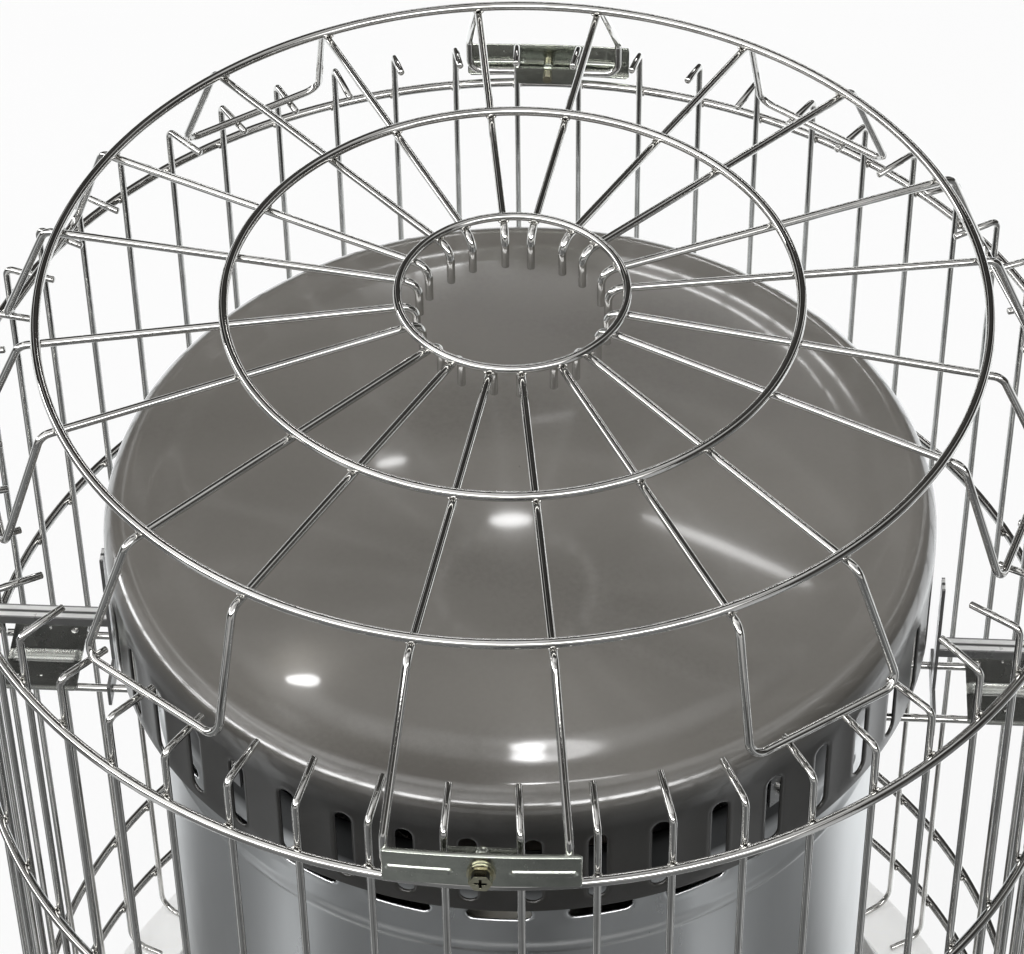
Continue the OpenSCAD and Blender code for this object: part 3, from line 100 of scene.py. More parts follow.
# Clamps and stay plates
SHEET_T, CORNER = 1.2, 1.5
CLAMP_Y, CLAMP_L, CLAMP_H, CLAMP_Z, CLAMP_SAG, CLAMP_ROLL = 241.22, 74.5, 17.0, 513.5, 1.3, 0.8
RIB_X, RIB_Y, RIB_HALF, RIB_R, RIB_OUT = 23.1, -0.5, 10.7, 1.7, 0.95
STAY_X, STAY_Z, STAY_L, STAY_W = 213.5, 358.1, 33.0, 40.0
BAND_HALF, BAND_END, BAND_R, BAND_OUT = 15.0, 1.5, 3.6, 1.7
# Dimples of a stay plate at both sides of its band: place along it, shift across it, radius
DIMPLE_Y, DIMPLES = 14.5, ((-11, 0.8, 1.9), (11, 0.8, 1.9), (0, 2.0, 0.9))
SCREW_FACE, RECESS_R, RECESS_EDGE, RECESS_DEPTH = 247.72, 3.4, 0.12, 3.5

# Greatest angle in degrees between faces that look smooth, and distance in metres at which points are one
SMOOTH, WIRE_SMOOTH, MERGE, WELD_MERGE = 35, 60, 0.00002, 0.000005


# Nodes

def feed(nt, socket, value):
    """Give a socket a constant or a link."""
    if isinstance(value, (int, float, tuple)):
        socket.default_value = value
    else:
        nt.links.new(value, socket)


class Nodes:
    """Short ways to write sums in a node tree."""

    def __init__(self, nt):
        self.nt = nt

    def sum(self, op, a, b=None, clamp=False):
        n = self.nt.nodes.new("ShaderNodeMath")
        n.operation = op
        n.use_clamp = clamp
        feed(self.nt, n.inputs[0], a)
        if b is not None:
            feed(self.nt, n.inputs[1], b)
        return n.outputs[0]

    def times(self, first, *others):
        for value in others:
            first = self.sum("MULTIPLY", first, value)
        return first

    def plus(self, first, *others):
        for value in others:
            first = self.sum("ADD", first, value)
        return first

    def near(self, value, centre, width, soft):
        """1 where value is within width of centre, falling to 0 over soft."""
        d = self.sum("ABSOLUTE", self.sum("SUBTRACT", value, centre))
        return self.sum("SUBTRACT", 1.0, self.sum("DIVIDE", self.sum("SUBTRACT", d, width), soft, True), True)

    def glow(self, color, strength):
        e = self.nt.nodes.new("ShaderNodeEmission")
        feed(self.nt, e.inputs["Color"], color)
        feed(self.nt, e.inputs["Strength"], strength)
        return e.outputs["Emission"]

    def mix(self, fac, a, b):
        m = self.nt.nodes.new("ShaderNodeMixShader")
        for socket, value in (("Fac", fac), (1, a), (2, b)):
            feed(self.nt, m.inputs[socket], value)
        return m.outputs["Shader"]


def new_material(name):
    m = bpy.data.materials.new(name)
    m.use_nodes = True
    return m, m.node_tree, m.node_tree.nodes["Principled BSDF"]


def noise(nt, scale, detail=4.0, rough=0.5, stretch=(1, 1, 1), coords="Object"):
    tc = nt.nodes.new("ShaderNodeTexCoord")
    mp = nt.nodes.new("ShaderNodeMapping")
    mp.inputs["Scale"].default_value = stretch
    nz = nt.nodes.new("ShaderNodeTexNoise")
    nz.inputs["Scale"].default_value = scale
    nz.inputs["Detail"].default_value = detail
    nz.inputs["Roughness"].default_value = rough
    nt.links.new(tc.outputs[coords], mp.inputs["Vector"])
    nt.links.new(mp.outputs["Vector"], nz.inputs["Vector"])
    return nz.outputs["Fac"]


def grey(stops):
    return [(at, (t, t, t)) for at, t in stops]


def ramp(nt, fac, stops):
    r = nt.nodes.new("ShaderNodeValToRGB")
    el = r.color_ramp.elements
    el[0].position, el[0].color = stops[0][0], (*stops[0][1], 1)
    el[1].position, el[1].color = stops[-1][0], (*stops[-1][1], 1)
    for p, c in stops[1:-1]:
        e = el.new(p)
        e.color = (*c, 1)
    nt.links.new(fac, r.inputs["Fac"])
    return r.outputs["Color"]


def map_range(nt, value, from_min, from_max, to_min=0.0, to_max=1.0):
    m = nt.nodes.new("ShaderNodeMapRange")
    limits = {"From Min": from_min, "From Max": from_max, "To Min": to_min, "To Max": to_max}
    for socket, number in limits.items():
        m.inputs[socket].default_value = number
    nt.links.new(value, m.inputs["Value"])
    return m.outputs["Result"]


def bump(nt, bsdf, fac, strength, dist):
    b = nt.nodes.new("ShaderNodeBump")
    b.inputs["Strength"].default_value = strength
    b.inputs["Distance"].default_value = dist
    nt.links.new(fac, b.inputs["Height"])
    nt.links.new(b.outputs["Normal"], bsdf.inputs["Normal"])


def mix_color(nt, blend, factor, a, b):
    mix = nt.nodes.new("ShaderNodeMix")
    mix.data_type = "RGBA"
    mix.blend_type = blend
    for socket, value in (("Factor", factor), (6, a), (7, b)):
        feed(nt, mix.inputs[socket], value)
    return mix.outputs[2]


def axes(nt, coords):
    tc = nt.nodes.new("ShaderNodeTexCoord")
    sep = nt.nodes.new("ShaderNodeSeparateXYZ")
    nt.links.new(tc.outputs[coords], sep.inputs["Vector"])
    return {axis: sep.outputs[axis] for axis in "XYZ"}


def place(nt, axis):
    """Distance of a point from the middle of the part along one axis, in metres."""
    return Nodes(nt).sum("ABSOLUTE", axes(nt, "Object")[axis])


def over_base(m, blend, factor, color):
    """Lay a colour over the base colour of a material."""
    base = m.node_tree.nodes["Principled BSDF"].inputs["Base Color"]
    mixed = mix_color(m.node_tree, blend, factor, base.links[0].from_socket, color)
    m.node_tree.links.new(mixed, base)


def ray_kinds(nt):
    """1 for rays of the camera and rays through glass, which see plain white, and 1 for mirrored rays."""
    path = nt.nodes.new("ShaderNodeLightPath")
    plain = Nodes(nt).sum("MAXIMUM", path.outputs["Is Camera Ray"], path.outputs["Is Transmission Ray"])
    return plain, path.outputs["Is Glossy Ray"]


# Materials

# The range in which most of a noise lies
NOISE_LOW, NOISE_HIGH = 0.3, 0.7


def surface(name, low, high, rough, scale, metallic=0.0, stretch=(1, 1, 1), bumps=(0.05, 0.0002, 600),
            coat=0.0, transmission=0.0, ior=1.5):
    """A mottled surface between two colours and two roughnesses. Bumps are strength, depth and scale."""
    m, nt, b = new_material(name)
    tones = ramp(nt, noise(nt, scale, 5, 0.55, stretch), [(NOISE_LOW, low), (NOISE_HIGH, high)])
    nt.links.new(tones, b.inputs["Base Color"])
    dull = noise(nt, scale * 2.3, 4, 0.6, stretch)
    nt.links.new(map_range(nt, dull, NOISE_LOW, NOISE_HIGH, *rough), b.inputs["Roughness"])
    for socket, value in (("Metallic", metallic), ("IOR", ior), ("Coat Weight", coat), ("Coat Roughness", 0.05),
                          ("Transmission Weight", transmission)):
        b.inputs[socket].default_value = value
    bump(nt, b, noise(nt, bumps[2], 3, 0.5, stretch), bumps[0], bumps[1])
    return m


M = {
    "chrome": surface("bright_chrome", (0.44, 0.435, 0.42), (0.56, 0.555, 0.54), (0.03, 0.08), 60, 1.0,
                      bumps=(0.08, 0.0001, 900)),
    "weld": surface("weld_metal", (0.3, 0.29, 0.27), (0.55, 0.54, 0.52), (0.18, 0.36), 300, 1.0,
                    bumps=(0.5, 0.0003, 1500)),
    "mirror": surface("mirror_steel", (0.46, 0.47, 0.475), (0.56, 0.57, 0.575), (0.26, 0.34), 14, 1.0,
                      stretch=(1, 1, 0.2), bumps=(0.04, 0.0002, 60)),
    "zinc": surface("bright_zinc", (0.62, 0.61, 0.58), (0.78, 0.775, 0.75), (0.14, 0.3), 90, 1.0,
                    bumps=(0.15, 0.0001, 700)),
    # Painted light: the stay bars' zinc is near white and little metallic, so that it looks brightly lit
    "bar": surface("bar_zinc", (0.84, 0.84, 0.83), (0.94, 0.94, 0.93), (0.25, 0.4), 60, 0.25,
                   bumps=(0.2, 0.0001, 700)),
    "clamp": surface("satin_zinc", (0.4, 0.42, 0.38), (0.5, 0.52, 0.47), (0.16, 0.28), 120, 1.0,
                     bumps=(0.2, 0.0001, 900)),
    "stay": surface("zinc_sheet", (0.3, 0.31, 0.29), (0.38, 0.385, 0.365), (0.2, 0.3), 30, 0.8,
                    bumps=(0.1, 0.0001, 500)),
    "burner": surface("heat_tinted_steel", (0.3, 0.26, 0.22), (0.5, 0.48, 0.46), (0.25, 0.42), 30, 1.0),
    "steel": surface("plain_steel", (0.42, 0.42, 0.42), (0.56, 0.56, 0.56), (0.22, 0.38), 50, 1.0),
    "dark": surface("dark_casting", (0.035, 0.035, 0.037), (0.07, 0.07, 0.07), (0.45, 0.65), 120, 0.4,
                    bumps=(0.4, 0.0004, 900)),
    "brass": surface("yellow_zinc", (0.4, 0.385, 0.28), (0.58, 0.56, 0.43), (0.1, 0.2), 200, 1.0,
                     bumps=(0.2, 0.0001, 900)),
    "enamel": surface("white_enamel", (0.74, 0.74, 0.73), (0.8, 0.8, 0.79), (0.2, 0.32), 25, coat=0.5),
    "tank": surface("tank_enamel", (0.42, 0.42, 0.41), (0.5, 0.5, 0.49), (0.2, 0.32), 25, coat=0.5),
    "plastic": surface("black_plastic", (0.018, 0.018, 0.02), (0.03, 0.03, 0.032), (0.4, 0.55), 80,
                       bumps=(0.3, 0.0002, 1800)),
    "housing": surface("dark_enamel", (0.028, 0.028, 0.03), (0.045, 0.045, 0.047), (0.3, 0.42), 60,
                       bumps=(0.2, 0.0002, 1200)),
    "red": surface("red_plastic", (0.36, 0.012, 0.008), (0.46, 0.02, 0.012), (0.2, 0.32), 60),
    "float": surface("orange_float", (0.6, 0.12, 0.02), (0.7, 0.16, 0.03), (0.3, 0.42), 60),
    "ceramic": surface("ceramic", (0.68, 0.65, 0.6), (0.8, 0.78, 0.74), (0.5, 0.7), 90),
    "cells": surface("cell_wrap", (0.03, 0.06, 0.12), (0.05, 0.09, 0.17), (0.25, 0.4), 40),
    "wick": surface("wick_cotton", (0.62, 0.58, 0.5), (0.78, 0.75, 0.68), (0.8, 0.95), 260,
                    stretch=(1, 1, 0.3), bumps=(0.8, 0.0006, 700)),
    "glass": surface("clear_glass", (0.82, 0.86, 0.84), (0.9, 0.93, 0.92), (0.02, 0.06), 12,
                     transmission=0.95, ior=1.47),
    "mica": surface("mica_sheet", (0.55, 0.42, 0.24), (0.72, 0.6, 0.4), (0.12, 0.3), 40,
                    transmission=0.6, ior=1.55),
}


def plate_material():
    """Grey-brown paint under a clear coat, which is thinner on the skirt than on the top."""
    m, nt, b = new_material("warm_grey_paint")
    sh = Nodes(nt)
    fine = noise(nt, 420, 3, 0.6)
    # The broad noise lays darker smudges over the plate: painted shade that stands in for the soft shadows of
    # the wires. The fine noise is the paint's own mottle
    tone = sh.plus(sh.times(fine, 0.16), noise(nt, 5, 2, 0.4, (1, 2.4, 1)))
    stops = [(0.34, (0.1, 0.093, 0.083)), (0.5, (0.142, 0.134, 0.12)), (0.8, (0.178, 0.168, 0.152))]
    nt.links.new(ramp(nt, tone, stops), b.inputs["Base Color"])
    dull = map_range(nt, noise(nt, 16, 4, 0.5), NOISE_LOW, NOISE_HIGH, 0.3, 0.38)
    nt.links.new(dull, b.inputs["Roughness"])
    b.inputs["Specular IOR Level"].default_value = 0.45
    # Thin up to 455 mm above the floor, full from 466 mm
    nt.links.new(map_range(nt, place(nt, "Z"), 0.455, 0.466, 0.2, 0.9), b.inputs["Coat Weight"])
    b.inputs["Coat Roughness"].default_value = 0.13
    b.inputs["Coat IOR"].default_value = 1.75
    bump(nt, b, fine, 0.04, 0.0001)
    return m


def shade(name, axis, stops):
    """Painted light and shade: multiply a material's base colour by tones that follow the place along an axis,
    in metres.
    """
    nt = M[name].node_tree
    low, high = stops[0][0], stops[-1][0]
    along = map_range(nt, place(nt, axis), low, high)
    tones = ramp(nt, along, grey([((at - low) / (high - low), t) for at, t in stops]))
    over_base(M[name], "MULTIPLY", 1.0, tones)


def recess_shade(m):
    """Painted shade inside the cross recess of the clamp screws: the base colour turns near black there."""
    sh = Nodes(m.node_tree)
    x, y = place(m.node_tree, "X"), place(m.node_tree, "Y")
    inside = sh.times(sh.sum("LESS_THAN", x, RECESS_R * MM),
                      sh.sum("LESS_THAN", y, (SCREW_FACE - RECESS_EDGE) * MM),
                      sh.sum("GREATER_THAN", y, (SCREW_FACE - RECESS_DEPTH) * MM))
    over_base(m, "MIX", inside, (0.03, 0.026, 0.018, 1))


M["paint"] = plate_material()
# The skirt lies in the shade of the rim
shade("paint", "Z", [(0.44, 0.3), (0.456, 0.24), (0.468, 0.65), (0.474, 1.0)])
# Painted shade: the casing's upper rim, behind the skirt, is made near black
shade("mirror", "Z", [(0.396, 1.0), (0.404, 0.08)])
# Painted shade in the pressed lines along the stay bars
shade("bar", "Y", [(0.0004, 0.1), (0.0011, 1.0), (0.003, 1.0), (0.0034, 0.25)])
# Painted highlights on the sides of the stay plates' band and at their long edges, painted shade at the band's
# foot, and the flat darker
shade("stay", "Y", [(0.0026, 2.6), (0.0034, 0.2), (0.005, 0.36), (0.018, 0.42), (0.0192, 1.6)])
# Painted shade in the clamp screws' cross recess
recess_shade(M["brass"])
# Painted light: the white enamel glows a little, so that it looks as white as the backdrop
enamel = M["enamel"].node_tree.nodes["Principled BSDF"]
enamel.inputs["Emission Color"].default_value = (1, 1, 0.99, 1)
enamel.inputs["Emission Strength"].default_value = 0.3

SLOT_MATERIAL = {
    "chrome_wire": "chrome", "mirror_steel": "mirror", "warm_grey_paint": "paint",
    "white_enamel": "enamel", "zinc_plate": "zinc", "burner_steel": "burner", "steel": "steel",
    "dark_steel": "dark", "black_plastic": "plastic", "dark_enamel": "housing",
    "red_plastic": "red", "orange_float": "float", "clear_glass": "glass", "mica": "mica",
    "wick_cotton": "wick", "brass": "brass", "ceramic": "ceramic", "cell_wrap": "cells",
}
for part in frame["record"]["subparts"]:
    ob = nodes[part["node"]]
    ob.data.materials.clear()
    ob.data.materials.append(M[SLOT_MATERIAL[part["material_slot"]]])
for node, name in (("stay_frames", "bar"), ("clamp_inner_plates", "clamp"), ("fuel_tank", "tank")):
    nodes[node].data.materials[0] = M[name]


# Meshes

def piece(name, verts, faces, mat, slot, stands_for=(), smooth=SMOOTH):
    """A mesh of the root body. Its faces look smooth up to an angle between them."""
    me = bpy.data.meshes.new(name)
    me.from_pydata([tuple(c * MM for c in v) for v in verts], [], faces)
    me.validate()
    me.update()
    me.materials.append(M[mat])
    ob = bpy.data.objects.new(name, me)
    bpy.context.scene.collection.objects.link(ob)
    me.shade_smooth()
    me.set_sharp_from_angle(angle=math.radians(smooth))
    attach(ob, "root")
    if stands_for:
        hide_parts(*stands_for)
    return ob


def turned(p, deg):
    a = math.radians(deg)
    return (p[0] * math.cos(a) - p[1] * math.sin(a), p[0] * math.sin(a) + p[1] * math.cos(a), p[2])


def on_ring(r, deg, z):
    """A point of a ring, 0 degrees in front, turning to the right."""
    return turned((0, -r, z), deg)


def filleted(pts, bends, seg=8):
    """A path through pts whose corners are rounded with the radii in bends."""
    out = [Vector(pts[0])]
    for i in range(1, len(pts) - 1):
        p, q, r = Vector(pts[i - 1]), Vector(pts[i]), Vector(pts[i + 1])
        u, w = (p - q).normalized(), (r - q).normalized()
        inner = math.acos(max(-1, min(1, u.dot(w))))
        bend = bends[i - 1]
        c = q + (u + w).normalized() * (bend / math.sin(inner / 2))
        a, b = q + u * (bend / math.tan(inner / 2)), q + w * (bend / math.tan(inner / 2))
        total = math.pi - inner
        x = (a - c).normalized()
        y = ((b - c) - x * (b - c).dot(x)).normalized()
        out += [c + x * (bend * math.cos(total * k / seg)) + y * (bend * math.sin(total * k / seg))
                for k in range(seg + 1)]
    return out + [Vector(pts[-1])]


def sweep(verts, faces, path, d, sides, closed=False):
    """A wire of diameter d along a path. Its open ends are flat with a small bevel."""
    base, n = len(verts), len(path)
    tangents = []
    for i in range(n):
        a = path[(i - 1) % n] if closed or i else path[0]
        b = path[(i + 1) % n] if closed or i < n - 1 else path[-1]
        tangents.append((b - a).normalized())
    t = tangents[0]
    up = Vector((0, 0, 1)) if abs(t.z) < 0.9 else Vector((1, 0, 0))
    nrm = (up - t * up.dot(t)).normalized()
    rings = []
    for i in range(n):
        t = tangents[i]
        nrm = (nrm - t * nrm.dot(t)).normalized()
        rings.append((path[i], t, nrm, d / 2))
    if not closed:
        p, t, nn, r = rings[0]
        rings[0] = (p + t * WIRE_LIP, t, nn, r)
        rings.insert(0, (p, t, nn, r - WIRE_LIP))
        p, t, nn, r = rings[-1]
        rings[-1] = (p - t * WIRE_LIP, t, nn, r)
        rings.append((p, t, nn, r - WIRE_LIP))
    for p, t, nn, r in rings:
        bi = t.cross(nn)
        for k in range(sides):
            a = TAU * k / sides
            verts.append(tuple(p + (nn * math.cos(a) + bi * math.sin(a)) * r))
    m = len(rings)
    for i in range(m if closed else m - 1):
        row, after = base + i * sides, base + ((i + 1) % m) * sides
        for k in range(sides):
            beside = (k + 1) % sides
            faces.append((row + k, row + beside, after + beside, after + k))
    if not closed:
        faces.append(tuple(base + k for k in reversed(range(sides))))
        faces.append(tuple(base + (m - 1) * sides + k for k in range(sides)))


def hoop(name, r, z, d, node, gap=0.0, shift=0.0):
    """A ring of wire, open over gap degrees on each side of the front."""
    count = HOOP_STEPS + (1 if gap else 0)
    path = [Vector(on_ring(r, gap + (360 - 2 * gap) * k / HOOP_STEPS, z)) + Vector((shift, 0, 0))
            for k in range(count)]
    v, f = [], []
    sweep(v, f, path, d, 20, closed=not gap)
    piece(name, v, f, "chrome", "chrome_wire", [node], smooth=WIRE_SMOOTH)


def blob(verts, faces, p, along, size):
    """A small weld bead: a squashed ball at p, its long way along."""
    z = Vector(along).normalized()
    x = z.orthogonal().normalized()
    y = z.cross(x)
    base, rows, cols = len(verts), 5, 8
    for i in range(rows + 1):
        a = math.pi * i / rows
        for k in range(cols):
            b = TAU * k / cols
            flat = x * math.cos(b) * size[0] + y * math.sin(b) * size[1]
            verts.append(tuple(Vector(p) + flat * math.sin(a) + z * size[2] * math.cos(a)))
    for i in range(rows):
        for k in range(cols):
            a, b = base + i * cols + k, base + i * cols + (k + 1) % cols
            faces.append((a, b, b + cols, a + cols))


# Guard cage

def upright(verts, faces, deg, short):
    """One upright wire. Its upper end rises where no foot of the top guard stands on it."""
    lean = random.uniform(-0.25, 0.25)
    between_feet = abs(deg % LOOP_TURN - LOOP_TURN / 2) < BETWEEN_TURN
    by_clamp = min(abs(deg), abs(abs(deg) - 180)) < CLAMP_TURN
    rise = STUB_RISE if between_feet or by_clamp else 0.0
    end_r = STUB_R + rise / 2 + random.uniform(0, 1.2)
    end_z = STUB_Z + rise + random.uniform(-0.5, 0.3)
    pts, bends = [on_ring(end_r, deg + lean, end_z), on_ring(UPRIGHT_R, deg, STUB_Z)], [STUB_BEND]
    if short:
        pts.append(on_ring(UPRIGHT_R, deg, HOOPS["low"] - HOOP_D / 2 - 1))
    else:
        pts += [on_ring(UPRIGHT_R, deg, FOOT_Z), on_ring(FOOT_R, deg, FOOT_Z)]
        bends.append(FOOT_BEND)
    sweep(verts, faces, filleted(pts, bends), UPRIGHT_D, 16)


half = (UPRIGHTS - WINDOW) // 2
for name, degs, short in (
    ("front", [(i - WINDOW / 2 + 0.5) * UPRIGHT_TURN for i in range(WINDOW)], True),
    ("right", [(WINDOW / 2 + i + 0.5) * UPRIGHT_TURN for i in range(half)], False),
    ("left", [-(WINDOW / 2 + i + 0.5) * UPRIGHT_TURN for i in range(half)], False),
):
    v, f = [], []
    for a in degs:
        upright(v, f, a, short)
    piece(name + "_upright_wires", v, f, "chrome", "chrome_wire", [name + "_uprights"], smooth=WIRE_SMOOTH)

WINDOW_TURN = UPRIGHT_TURN * WINDOW / 2
for name, z in HOOPS.items():
    hoop(name + "_hoop_wire", GUARD_R, z, HOOP_D, name + "_hoop", WINDOW_TURN if name == "bottom" else 0)

# Weld beads on both sides of each crossing of an upright and a hoop
weld_v, weld_f = [], []
for i in range(UPRIGHTS):
    a = (i + 0.5) * UPRIGHT_TURN
    for name, z in HOOPS.items():
        if name == "bottom" and min(a, 360 - a) < WINDOW_TURN:
            continue
        for s in (-1, 1):
            r = GUARD_R - HOOP_D / 2 + random.uniform(-0.2, 0.1)
            p = on_ring(r, a + s * WELD_TURN, z + random.uniform(-0.3, 0.3))
            size = (random.uniform(0.8, 1.2), random.uniform(0.8, 1.2), random.uniform(1.2, 1.7))
            blob(weld_v, weld_f, p, (0, 0, 1), size)


# Top guard

def radial_z(r):
    """Height of a radial wire's axis, which falls a little from the hub to the outer hoop."""
    hub, outer = GRILLE_HOOPS["hub"][0], GRILLE_HOOPS["outer"][0]
    return RADIAL_Z - RADIAL_FALL * (r - hub) / (outer - hub)


def moved(p):
    return (p[0] + GRILLE_SHIFT, p[1], p[2])


def radial(s):
    """One radial wire of a loop, from its drop at the hub to the knee."""
    a = s * LOOP_HALF
    return [on_ring(HUB_END_R, a, RADIAL_Z - HUB_DROP), on_ring(HUB_END_R, a, radial_z(HUB_END_R)),
            on_ring(KNEE_R, a, radial_z(KNEE_R))]


v, f = [], []
for i in range(LOOPS):
    leg = CLAMPED_LEG if i in CLAMPED_LOOPS else [(LEG_X, -math.sqrt(LEG_R ** 2 - LEG_X ** 2), LEG_Z)]
    path = radial(-1) + [(-p[0], p[1], p[2]) for p in leg] + leg[::-1] + radial(1)[::-1]
    for end in (0, -1):
        x, y, z = path[end]
        path[end] = (x, y, z + random.uniform(-0.8, 0.8))
    turned_path = [moved(turned(p, LOOP_TURN * i)) for p in path]
    sweep(v, f, filleted(turned_path, [LOOP_BEND] * (len(path) - 2)), RADIAL_D, 18)
    for s in (-1, 1):
        a = LOOP_TURN * i + s * LOOP_HALF
        for r, d in GRILLE_HOOPS.values():
            for t in (-1, 1):
                beside = math.degrees(WELD_ASIDE / r) * t
                at = moved(on_ring(r, a + beside, radial_z(r) + RADIAL_D / 2 + 0.1))
                blob(weld_v, weld_f, at, on_ring(1, a, 0), (1.0, 1.0, 1.6))
piece("grille_loop_wires", v, f, "chrome", "chrome_wire", ["grille_loops"], smooth=WIRE_SMOOTH)
piece("weld_beads", weld_v, weld_f, "weld", "chrome_wire", smooth=80)
for name, (r, d) in GRILLE_HOOPS.items():
    z = radial_z(r) + RADIAL_D / 2 + d / 2 + TOUCH
    hoop("grille_%s_wire" % name, r, z, d, "grille_%s_hoop" % name, shift=GRILLE_SHIFT)


# Top plate and casing

def stadium(w, h, n_side):
    """Outline of a slot w wide and h high, round ends up and down, and the matching points of a unit square."""
    r, pts, marks = w / 2, [], []
    c = h / 2 - r
    for k in range(2 * ROUND_STEPS):
        a = math.pi * k / (2 * ROUND_STEPS)
        pts.append((r * math.cos(a), c + r * math.sin(a)))
        marks.append((1 - k / ROUND_STEPS, 1))
    for k in range(n_side):
        t = k / n_side
        pts.append((-r, c - 2 * c * t))
        marks.append((-1, 1 - 2 * t))
    return pts + [(-x, -y) for x, y in pts], marks + [(-x, -y) for x, y in marks]


def slotted_band(r, z0, z1, count, turn, w, h, zc, tall, n_side):
    """One band of a drum with a slot in each sector, upright or lying, its edge pressed out."""
    sector = 360 / count
    half_w, verts, faces = math.pi * r / count, [], []
    outline, marks = stadium(w, h, n_side)
    if not tall:
        outline, marks = [(y, -x) for x, y in outline], [(y, -x) for x, y in marks]
    n, flat = len(outline), (h - w) / 2
    for i in range(count):
        rings = []
        # Rings round the slot: how far from its edge, and how far out of the drum
        for grow, out in ((0.0, 0.0), (1.2, SLOT_LIP), (2.6, SLOT_LIP * 0.85), (4.6, 0.0)):
            ring = []
            for x, y in outline:
                dx = x if tall else x - max(-flat, min(flat, x))
                dy = y - max(-flat, min(flat, y)) if tall else y
                dl = math.hypot(dx, dy) or 1
                ring.append((x + dx / dl * grow, y + dy / dl * grow, r + out))
            rings.append(ring)
        rings.append([(mx * half_w, ((z1 - zc) if my > 0 else (zc - z0)) * my, r) for mx, my in marks])
        base = len(verts)
        for ring in rings:
            for x, y, rr in ring:
                verts.append(on_ring(rr, turn + sector * i + math.degrees(x / r), zc + y))
        for k in range(len(rings) - 1):
            for j in range(n):
                a, b = base + k * n + j, base + k * n + (j + 1) % n
                faces.append((a, a + n, b + n, b))
    return verts, faces


def lathe(profile, segs, turn):
    verts, faces = [], []
    for r, z in profile:
        for k in range(segs):
            verts.append(on_ring(r, turn + 360 * k / segs, z))
    for i in range(len(profile) - 1):
        for k in range(segs):
            a, b = i * segs + k, i * segs + (k + 1) % segs
            faces.append((a, b, b + segs, a + segs))
    return verts, faces


def join(parts):
    verts, faces = [], []
    for v0, f0 in parts:
        base = len(verts)
        verts += v0
        faces += [tuple(i + base for i in face) for face in f0]
    return verts, faces


def sheet_piece(name, parts, mat, slot, node, t):
    """Bands of one sheet, merged where they meet and made t thick to the inside."""
    ob = piece(name, *join(parts), mat, slot, [node])
    bm = bmesh.new()
    bm.from_mesh(ob.data)
    bmesh.ops.remove_doubles(bm, verts=bm.verts, dist=MERGE)
    bmesh.ops.recalc_face_normals(bm, faces=bm.faces)
    bm.to_mesh(ob.data)
    bm.free()
    mod = ob.modifiers.new("sheet", "SOLIDIFY")
    mod.thickness = t * MM
    mod.offset = -1
    mod.use_even_offset = True
    ob.data.shade_smooth()
    ob.data.set_sharp_from_angle(angle=math.radians(SMOOTH))


DOME_R = STEP_R - STEP_RUN
BALL_R = (DOME_R ** 2 + DOME_H ** 2) / (2 * DOME_H)


def dome_z(r):
    """Height of the top plate at radius r."""
    if r <= DOME_R:
        return PLATE_Z + STEP_H + DOME_H - BALL_R + math.sqrt(BALL_R ** 2 - r ** 2)
    if r >= STEP_R + STEP_RUN:
        return PLATE_Z
    # From the dome's own slope down to the flat rim, with no kink at either end
    t = (r - DOME_R) / (2 * STEP_RUN)
    slope = -DOME_R / math.sqrt(BALL_R ** 2 - DOME_R ** 2) * 2 * STEP_RUN
    return PLATE_Z + STEP_H * (2 * t ** 3 - 3 * t ** 2 + 1) + slope * (t ** 3 - 2 * t ** 2 + t)


segs = SLOTS * ACROSS
band_top = PLATE_Z - ROUND - 4
step_rings = [DOME_R + k for k in range(int(2 * STEP_RUN) + 1)]
profile = [(r, dome_z(r)) for r in (0.5, *DOME_RINGS, *step_rings)]
for a in range(0, 91, 5):
    out, over = ROUND * math.sin(math.radians(a)), ROUND * math.cos(math.radians(a))
    profile.append((PLATE_R - ROUND + out, PLATE_Z - ROUND + over))
profile.append((PLATE_R, band_top))
dome = lathe(profile[::-1], segs, SLOT_TURN)
cap = lathe([(0.5, dome_z(0.5)), (0.01, dome_z(0))], segs, SLOT_TURN)
band = slotted_band(PLATE_R, SKIRT_Z + 2, band_top, SLOTS, SLOT_TURN, SLOT_W, SLOT_H, SLOT_Z, True, 10)
hem = lathe([(PLATE_R - 2.2, SKIRT_Z + 0.6), (PLATE_R - 1.5, SKIRT_Z + 0.15), (PLATE_R - 0.8, SKIRT_Z),
             (PLATE_R - 0.2, SKIRT_Z + 0.6), (PLATE_R, SKIRT_Z + 2)], segs, SLOT_TURN)
sheet_piece("top_plate_sheet", [dome, cap, band, hem], "paint", "warm_grey_paint", "top_plate", PLATE_T)

# Points round the drum of the casing, the same in all its bands, and the last one beside the opening's middle
ANGLES = [360 / (V_SLOTS * ACROSS) * k for k in range(V_SLOTS * ACROSS)]
OPENING_ANGLE = math.degrees(math.asin(OPENING_HALF / CASING_R))
LAST = int(OPENING_ANGLE / ANGLES[1])


def drum(profile):
    """Walls of the casing. Beside the view window's opening they end at the opening's own edge."""
    verts, faces, n = [], [], len(ANGLES)
    for r, z in profile:
        for k, a in enumerate(ANGLES):
            if OPENING_LOW <= z <= OPENING_HIGH and k in (LAST, n - LAST):
                a = OPENING_ANGLE if k == LAST else -OPENING_ANGLE
            verts.append(on_ring(r, a, z))
    for i in range(len(profile) - 1):
        z = (profile[i][1] + profile[i + 1][1]) / 2
        for k in range(n):
            if not (OPENING_LOW < z < OPENING_HIGH and (k < LAST or k >= n - LAST)):
                a, b = i * n + k, i * n + (k + 1) % n
                faces.append((a, b, b + n, a + n))
    return verts, faces


